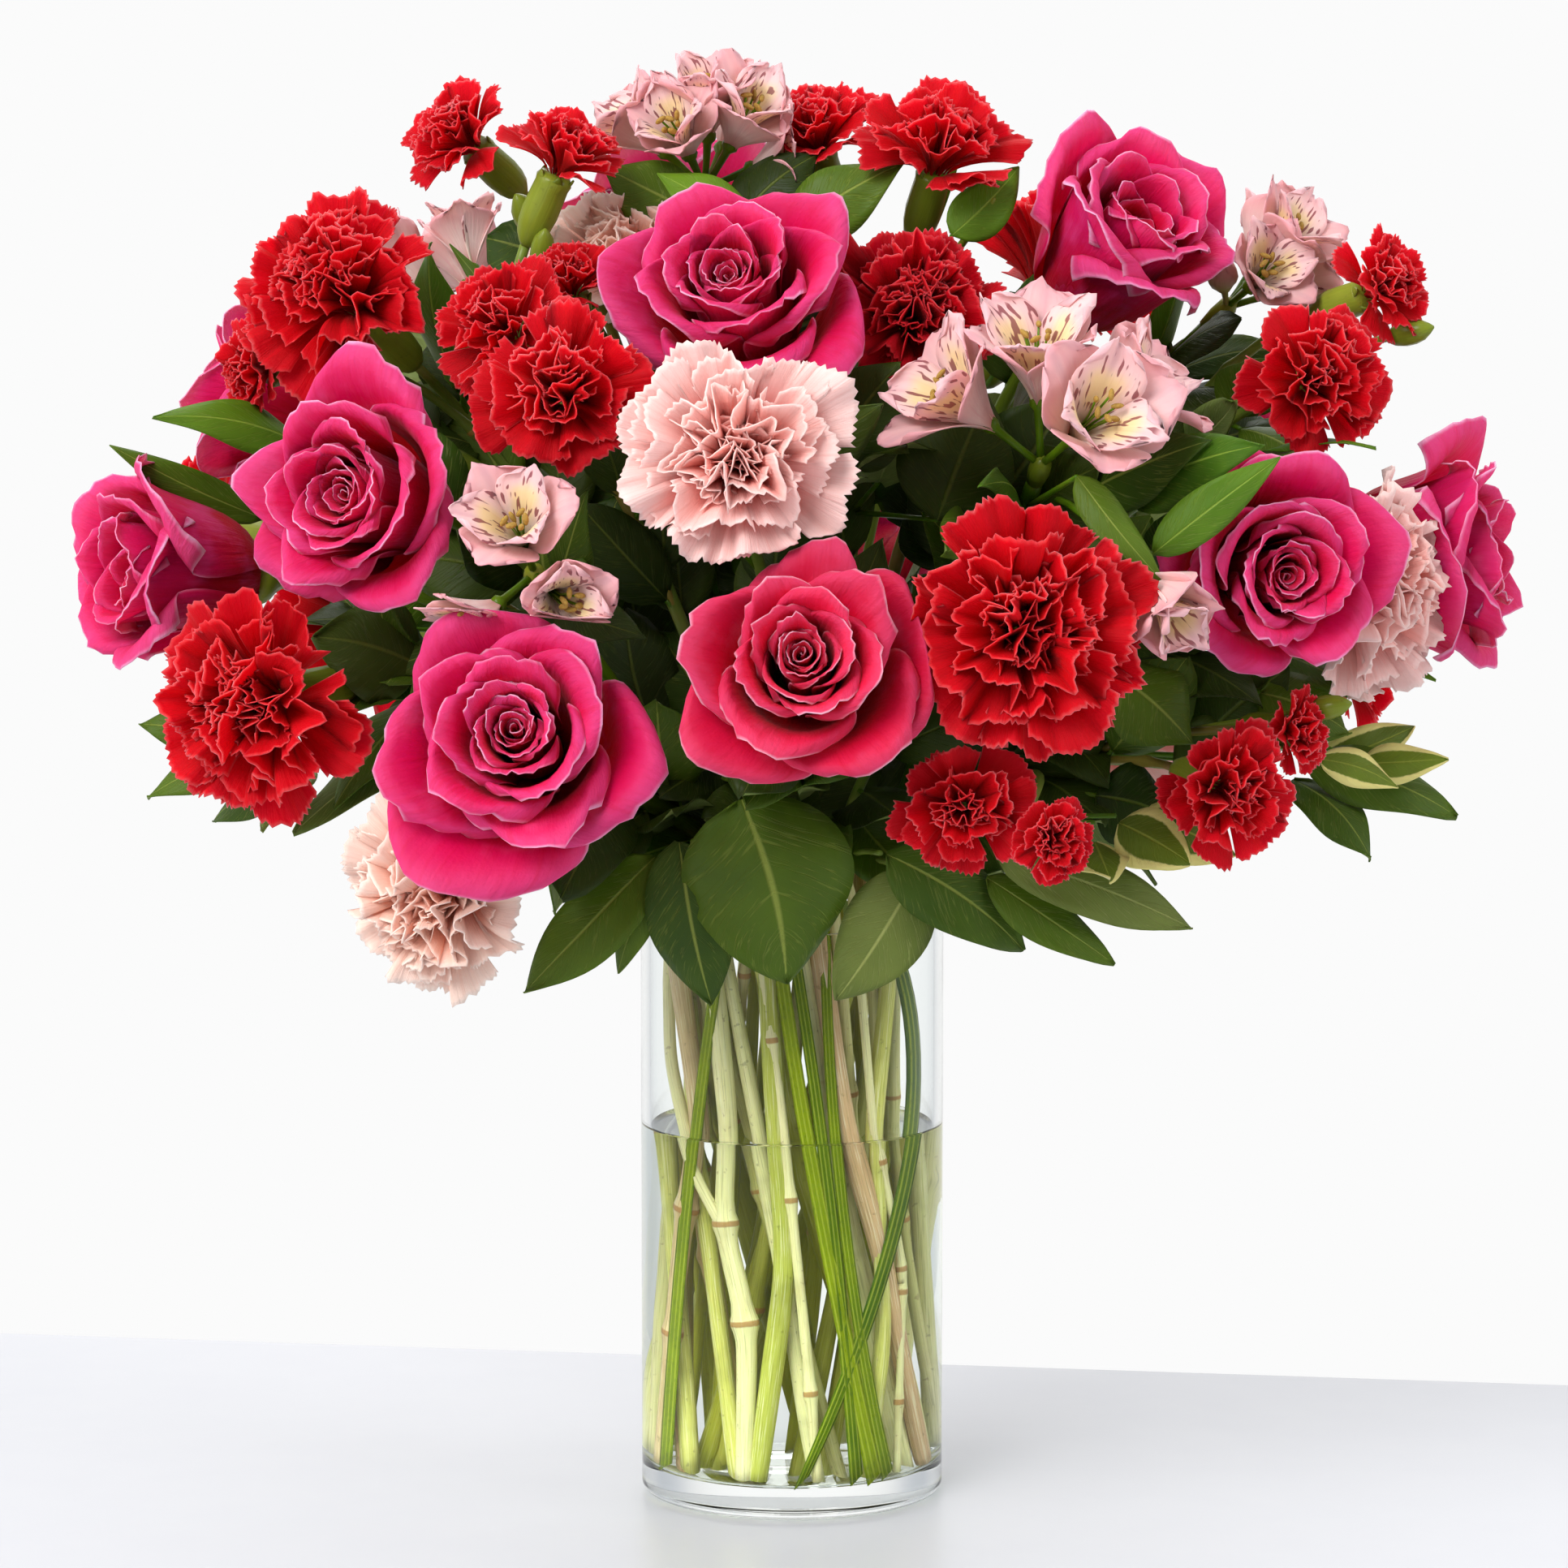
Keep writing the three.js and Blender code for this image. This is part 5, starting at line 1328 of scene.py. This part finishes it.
def tepalFinish(name, foot, body, rim, dashes):
    # a tepal: its foot, pale blade and pink rim; the inner ones have dark dashes on yellow
    finish = Finish(name)
    across, along, off, tone, place = finish.sheetValues()
    cloud = finish.noise(place, 120, 2)
    veins = finish.grain(across * 22, along * 2, tone * 11)
    ramp = {"stops": ((0.06, foot), (0.4, body), (1.0, rim))}
    colour = finish.node("ValToRGB", ramp, {0: (along + 0.25 * (cloud - 0.5) + 0.12 * off).clamped()}, "Color")
    colour = finish.mix(finish.step(veins, 0.5, 0.7) * 0.4, colour, rim)
    colour = finish.mix((1 - finish.step(off, 0.02, 0.16)) * 0.45 * along, colour, tint(206, 150, 160))
    if dashes:
        gold = finish.step(along, 0.3, 0.42) * (1 - finish.step(along, 0.6, 0.78)) * (1 - finish.step(off, 0.3, 0.8))
        colour = finish.mix(gold * 0.6, colour, tint(244, 214, 120))
        marks = finish.grain(across * 17, along * 7, tone * 13, 0)
        here = finish.step(marks, 0.6, 0.66) * finish.step(along, 0.25, 0.4) * (1 - finish.step(along, 0.82, 0.92))
        colour = finish.mix(here * 0.85, colour, tint(112, 26, 48))
    return finish.surface({
        "Base Color": colour, "Roughness": 0.42 + 0.2 * cloud, "Normal": finish.bump(veins + 0.4 * cloud, 0.35, 0.0006),
        **flesh(0.3, (1.0, 0.6, 0.5), 0.004), "Sheen Weight": 0.08, "Sheen Roughness": 0.4, "Specular IOR Level": 0.4,
    })


def budFinish():
    finish = Finish("alstroemeria_bud")
    across, along = finish.mapAxes()
    place = finish.place()
    cloud = finish.noise(place, 110, 3)
    streak = finish.grain(across * 18, along * 1.5, cloud)
    colour = finish.mix((along * 1.2 + cloud * 0.5 - 0.35).clamped(), tint(150, 150, 66), tint(222, 160, 168))
    colour = finish.mix(finish.step(streak, 0.52, 0.68) * 0.5, colour, tint(150, 70, 80))
    return finish.surface({
        "Base Color": colour, "Roughness": 0.4 + 0.2 * cloud, "Normal": finish.bump(streak, 0.3, 0.0006),
        **flesh(0.2, (1.0, 0.6, 0.5), 0.003),
    })


def antherFinish():
    finish = Finish("anther")
    grain = finish.noise(finish.place(), 1500, 3)
    colour = finish.mix(grain, tint(120, 84, 24), tint(196, 160, 70))
    return finish.surface({"Base Color": colour, "Roughness": 0.7 + 0.2 * grain,
                           "Normal": finish.bump(grain, 0.6, 0.0004)})


umbelFinishes = [
    tepalFinish("outer_tepal", tint(200, 116, 106), tint(246, 208, 200), tint(232, 156, 162), False),
    tepalFinish("inner_tepal", tint(232, 208, 142), tint(250, 222, 208), tint(238, 176, 180), True),
]
stalkFinishes = [leafyStem, budFinish(), antherFinish()]


def tepalPoints(form, length, turn, dice, opened):
    n = len(turn)
    u, v = tepalBlank["across"][None], tepalBlank["along"][None]
    turn = turn[:, None]
    wild = lambda size: dice.uniform(-size, size, (n, 1))
    t = v * (1 - 0.17 * np.abs(u) ** 2.4) - 0.03 * np.where(np.round((u + 1) * 5) % 2 > 0, 1, 0) * v**10
    t = t + 0.05 * (np.exp(-((u / 0.14) ** 2)) - form["tip"] * np.exp(-((u / 0.34) ** 2))) * v**8
    spread = (1 + wild(0.16)) * opened
    r = curveAt(t, *form["r"]) * spread
    z = curveAt(t, *form["z"]) - 0.1 * (spread - 1)
    widest = form["widest"]
    body = np.clip(v / widest, 0, 1)
    tip = np.clip((v - widest) / (1 - widest), 0, 1)
    half = form["half"] * (0.13 + 0.87 * body**1.7 * (2 - body)) * (1 - (0.85 - 0.4 * form["tip"]) * tip**3.4)
    phase = dice.uniform(0, 6.3, (n, 2))
    ripple = 0.034 * np.sin(4.2 * u + phase[:, :1]) * v**2 + 0.012 * np.sin(11 * u + phase[:, 1:]) * v**3
    trough = 0.045 * np.abs(u) ** 1.5 * body
    r, z = r - trough + ripple * 0.4, z + ripple + 0.4 * trough
    side = half * u
    c, k = np.cos(turn), np.sin(turn)
    return np.stack((r * c - side * k, r * k + side * c, z), -1) * length


def floretShapes(root, way, length, cell, at, dice, opened=1.0):
    # sheets for the tepals, and solids for the pedicel and stamens
    frameOf = turnTo(way)
    spin = dice.uniform(0, math.tau)
    place = lambda points: pressIn(points @ frameOf.T + root - at, cell) + at
    thirds = np.arange(3) * math.tau / 3
    outer = place(tepalPoints(tepalForm["outer"], length, spin + thirds, dice, opened))
    inner = place(tepalPoints(tepalForm["inner"], length, spin + math.pi / 3 + thirds, dice, opened))
    heights = np.array((0, 0.2, 0.36, 0.4, 0.44, 0.47))
    sizes = np.array((1.3, 1.2, 1.5, 2.9, 2.8, 1.6))
    stalk = tube(place(np.outer(heights * length, (0, 0, 1))), sizes, 8, tone=dice.uniform(0.3, 1))
    solids = [{**stalk, "slot": 0}]
    lean = dice.uniform(0, math.tau)
    for i in range(6):
        angle = spin + i * math.tau / 6
        reach = dice.uniform(0.06, 0.12)
        x = np.array((0.01, 0.03, reach)) * math.cos(angle) + np.array((0, 0.01, 0.05)) * math.cos(lean)
        y = np.array((0.01, 0.03, reach)) * math.sin(angle) + np.array((0, 0.01, 0.05)) * math.sin(lean)
        z = np.array((0.44, 0.68, dice.uniform(0.84, 0.97)))
        path = place(np.stack((x, y, z), 1) * length)
        fine = bezier(path[0], path[1], path[1], path[2])[::10]
        solids.append({**tube(fine, np.full(len(fine), 0.4), 5, tone=0.9), "slot": 0})
        tip = egg["points"] * np.array((0.9, 1.1, 2.1)) @ turnTo(unit(dice.normal(size=3))).T + fine[-1]
        solids.append({**egg, "points": tip, "slot": 2})
    return outer, inner, solids


def budShapes(root, way, length, dice):
    # a closed bud on its pedicel, plump and a little twisted
    shares = np.array((0, 0.2, 0.36, 0.4, 0.46, 0.56, 0.68, 0.8, 0.9, 0.97, 1.0))
    sizes = np.array((0.035, 0.03, 0.04, 0.075, 0.09, 0.13, 0.155, 0.14, 0.1, 0.055, 0.02)) * length
    whole = tube(root + np.outer(shares * length, way), sizes, 12, tone=dice.uniform(0, 1))
    ring = np.repeat(shares, 12)
    around = np.tile(np.arange(12), len(shares))
    lobes = 1 + 0.1 * np.cos(math.tau * around / 12 * 3 + 2.5 * ring) * (ring > 0.45)
    middle = root + np.outer(ring * length, way)
    whole["points"] = middle + (whole["points"] - middle) * lobes[:, None]
    whole["lie"] = np.stack((around / 12, np.clip((ring - 0.38) / 0.62, 0, 1)), 1)
    return [{**whole, "slot": 1}]


def makeUmbel(name, dice):
    head = heads[name]
    cell = cellOf(name)
    outers, inners, solids = [], [], []
    hub = head["seat"] + head["face"] * 2
    for heading, rise, length, *longer in head["florets"]:
        way = facing(heading, rise)
        if longer:
            # a half-open floret on a long stalk
            root = hub + way * longer[0]
            stalk = bezier(hub, hub + (0, 50, -24), root - way * 30 + (0, 24, 0), root)[::6]
            solids.append({**tube(stalk, np.full(len(stalk), 1.2), 8, tone=0.5), "slot": 0})
            outer, inner, more = floretShapes(root, way, length, [], head["at"], dice, tepalForm["halfOpen"])
        elif length < tepalForm["closed"]:
            solids += budShapes(hub, way, length, dice)
            continue
        else:
            outer, inner, more = floretShapes(hub, way, length, cell, head["at"], dice)
        outers.append(outer)
        inners.append(inner)
        solids += more
    tones = lambda sets: dice.uniform(0, 1, sum(len(s) for s in sets))
    parts = [sheetPart(tepalBlank, np.concatenate(outers) * mm, tones(outers), 0),
             sheetPart(tepalBlank, np.concatenate(inners) * mm, tones(inners), 1)]
    tepals = makeSheets(name + "_tepals", parts, umbelFinishes, tepalForm["thickness"])
    stalks = makeSolids(name + "_stalks", solids, stalkFinishes)
    settle(joinPieces([tepals, stalks], name + "_florets"), "alstroemeria_petal", name + "_umbel")


for number, name in enumerate(umbels):
    makeUmbel(name, np.random.default_rng(500 + number))
print("alstroemeria is made")

# glass and water


def pick(piece, kind, test):
    # selects the edges or polygons that pass the test, in edit mode
    bpy.ops.object.mode_set(mode="OBJECT")
    mesh = piece.data
    for parts in (mesh.vertices, mesh.edges, mesh.polygons):
        parts.foreach_set("select", np.zeros(len(parts), bool))
    for part in getattr(mesh, kind):
        if test(part):
            part.select = True
    bpy.ops.object.mode_set(mode="EDIT")


def startRound(name, radius, low, sides):
    bpy.ops.object.select_all(action="DESELECT")
    bpy.ops.mesh.primitive_circle_add(vertices=sides, radius=radius * mm, fill_type="NGON", location=(0, 0, low * mm))
    piece = bpy.context.object
    piece.name = name
    bpy.ops.object.transform_apply(location=True)
    bpy.ops.object.mode_set(mode="EDIT")
    bpy.ops.mesh.select_mode(type="FACE")
    return piece


def pullUp(height):
    bpy.ops.mesh.extrude_region_move(TRANSFORM_OT_translate={"value": (0, 0, height * mm)})


def finishRound(piece):
    bpy.ops.mesh.select_all(action="SELECT")
    bpy.ops.mesh.normals_make_consistent(inside=False)
    bpy.ops.object.mode_set(mode="OBJECT")
    bpy.ops.object.select_all(action="DESELECT")
    piece.select_set(True)
    bpy.ops.object.shade_smooth_by_angle(angle=math.radians(35))
    # large faces keep their own normals, so that the wall is straight to the eye beside its rounded edges
    even = piece.modifiers.new("even", "WEIGHTED_NORMAL")
    even.weight = 100
    even.keep_sharp = True
    bpy.ops.object.modifier_apply(modifier=even.name)


def bevelCircle(piece, radius, height, width, segments):
    def lies(edge):
        a, b = (piece.data.vertices[i].co for i in edge.vertices)
        middle = (a + b) / 2
        return (abs(middle.z - height * mm) < 1e-4 and abs((b - a).z) < 1e-5
                and abs(middle.xy.length - radius * mm) < 4e-4)

    pick(piece, "edges", lies)
    bpy.ops.mesh.bevel(offset=width * mm, segments=segments, affect="EDGES")


def clearSurface(finish, values):
    # refracts what is seen through it, and lets the lamps' light straight through
    clear = finish.node("BsdfPrincipled", {}, {"Transmission Weight": 1.0, **values})
    passing = finish.node("BsdfTransparent", {}, {"Color": tint(246, 249, 248)})
    shadow = finish.node("LightPath", {}, {}, "Is Shadow Ray")
    finish.node("OutputMaterial", {}, {"Surface": finish.node("MixShader", {}, {0: shadow, 1: clear, 2: passing})})
    return finish.material


def glassFinish():
    # clear glass, with faint waves in the blown wall and a trace of handling on it
    finish = Finish("clear_glass")
    place = finish.place()
    wave = finish.noise(place, 14, 2)
    smear = finish.noise(place, 38, 4)
    return clearSurface(finish, {
        "Base Color": tint(253, 255, 254), "IOR": 1.5, "Roughness": finish.step(smear, 0.5, 0.8) * 0.01,
        "Specular Tint": (0.15, 0.15, 0.15, 1), "Normal": finish.bump(wave, 0.06, 0.002),
    })


def waterFinish():
    finish = Finish("vase_water")
    place = finish.place()
    ripple = finish.noise(place, 60, 2)
    return clearSurface(finish, {
        "Base Color": tint(254, 255, 251), "IOR": 1.333, "Roughness": 0.0,
        "Specular Tint": (0.1, 0.1, 0.1, 1), "Normal": finish.bump(ripple, 0.04, 0.001),
    })


def makeVase():
    piece = startRound("clear_vase", vase["radius"], 0, vase["sides"])
    bpy.ops.mesh.select_all(action="SELECT")
    pullUp(vase["height"])
    bpy.ops.mesh.inset(thickness=vase["wall"] * mm)
    pullUp(vase["floor"] - vase["height"])
    inner = vase["radius"] - vase["wall"]
    pick(piece, "polygons", lambda face: face.center.z < 1e-5 and face.normal.z < -0.9)
    bpy.ops.mesh.inset(thickness=vase["foot"] * mm)
    bpy.ops.mesh.inset(thickness=vase["slope"] * mm)
    bpy.ops.transform.translate(value=(0, 0, vase["punt"] * mm))
    bevelCircle(piece, vase["radius"], 0, vase["heel"], 5)
    bevelCircle(piece, vase["radius"], vase["height"], vase["rim"], 4)
    bevelCircle(piece, inner, vase["height"], vase["rim"], 4)
    bevelCircle(piece, inner, vase["floor"], vase["corner"], 6)
    finishRound(piece)
    piece.data.materials.append(glassFinish())
    settle(piece, "glass", "glass_vase")


def makeWater():
    radius = vase["radius"] - vase["wall"] + water["overlap"]
    low = vase["floor"] - water["overlap"]
    piece = startRound("vase_water", radius, low, vase["sides"])
    bpy.ops.mesh.select_all(action="SELECT")
    pullUp(water["level"] + water["creep"] - low)
    bpy.ops.mesh.inset(thickness=water["edge"] * mm)
    bpy.ops.transform.translate(value=(0, 0, -water["creep"] * mm))
    bevelCircle(piece, radius - water["edge"], water["level"], water["bend"], 3)
    bevelCircle(piece, radius, low, vase["corner"], 6)
    finishRound(piece)
    piece.data.materials.append(waterFinish())
    settle(piece, "water", "water")


makeVase()
makeWater()
print("glass and water are made")
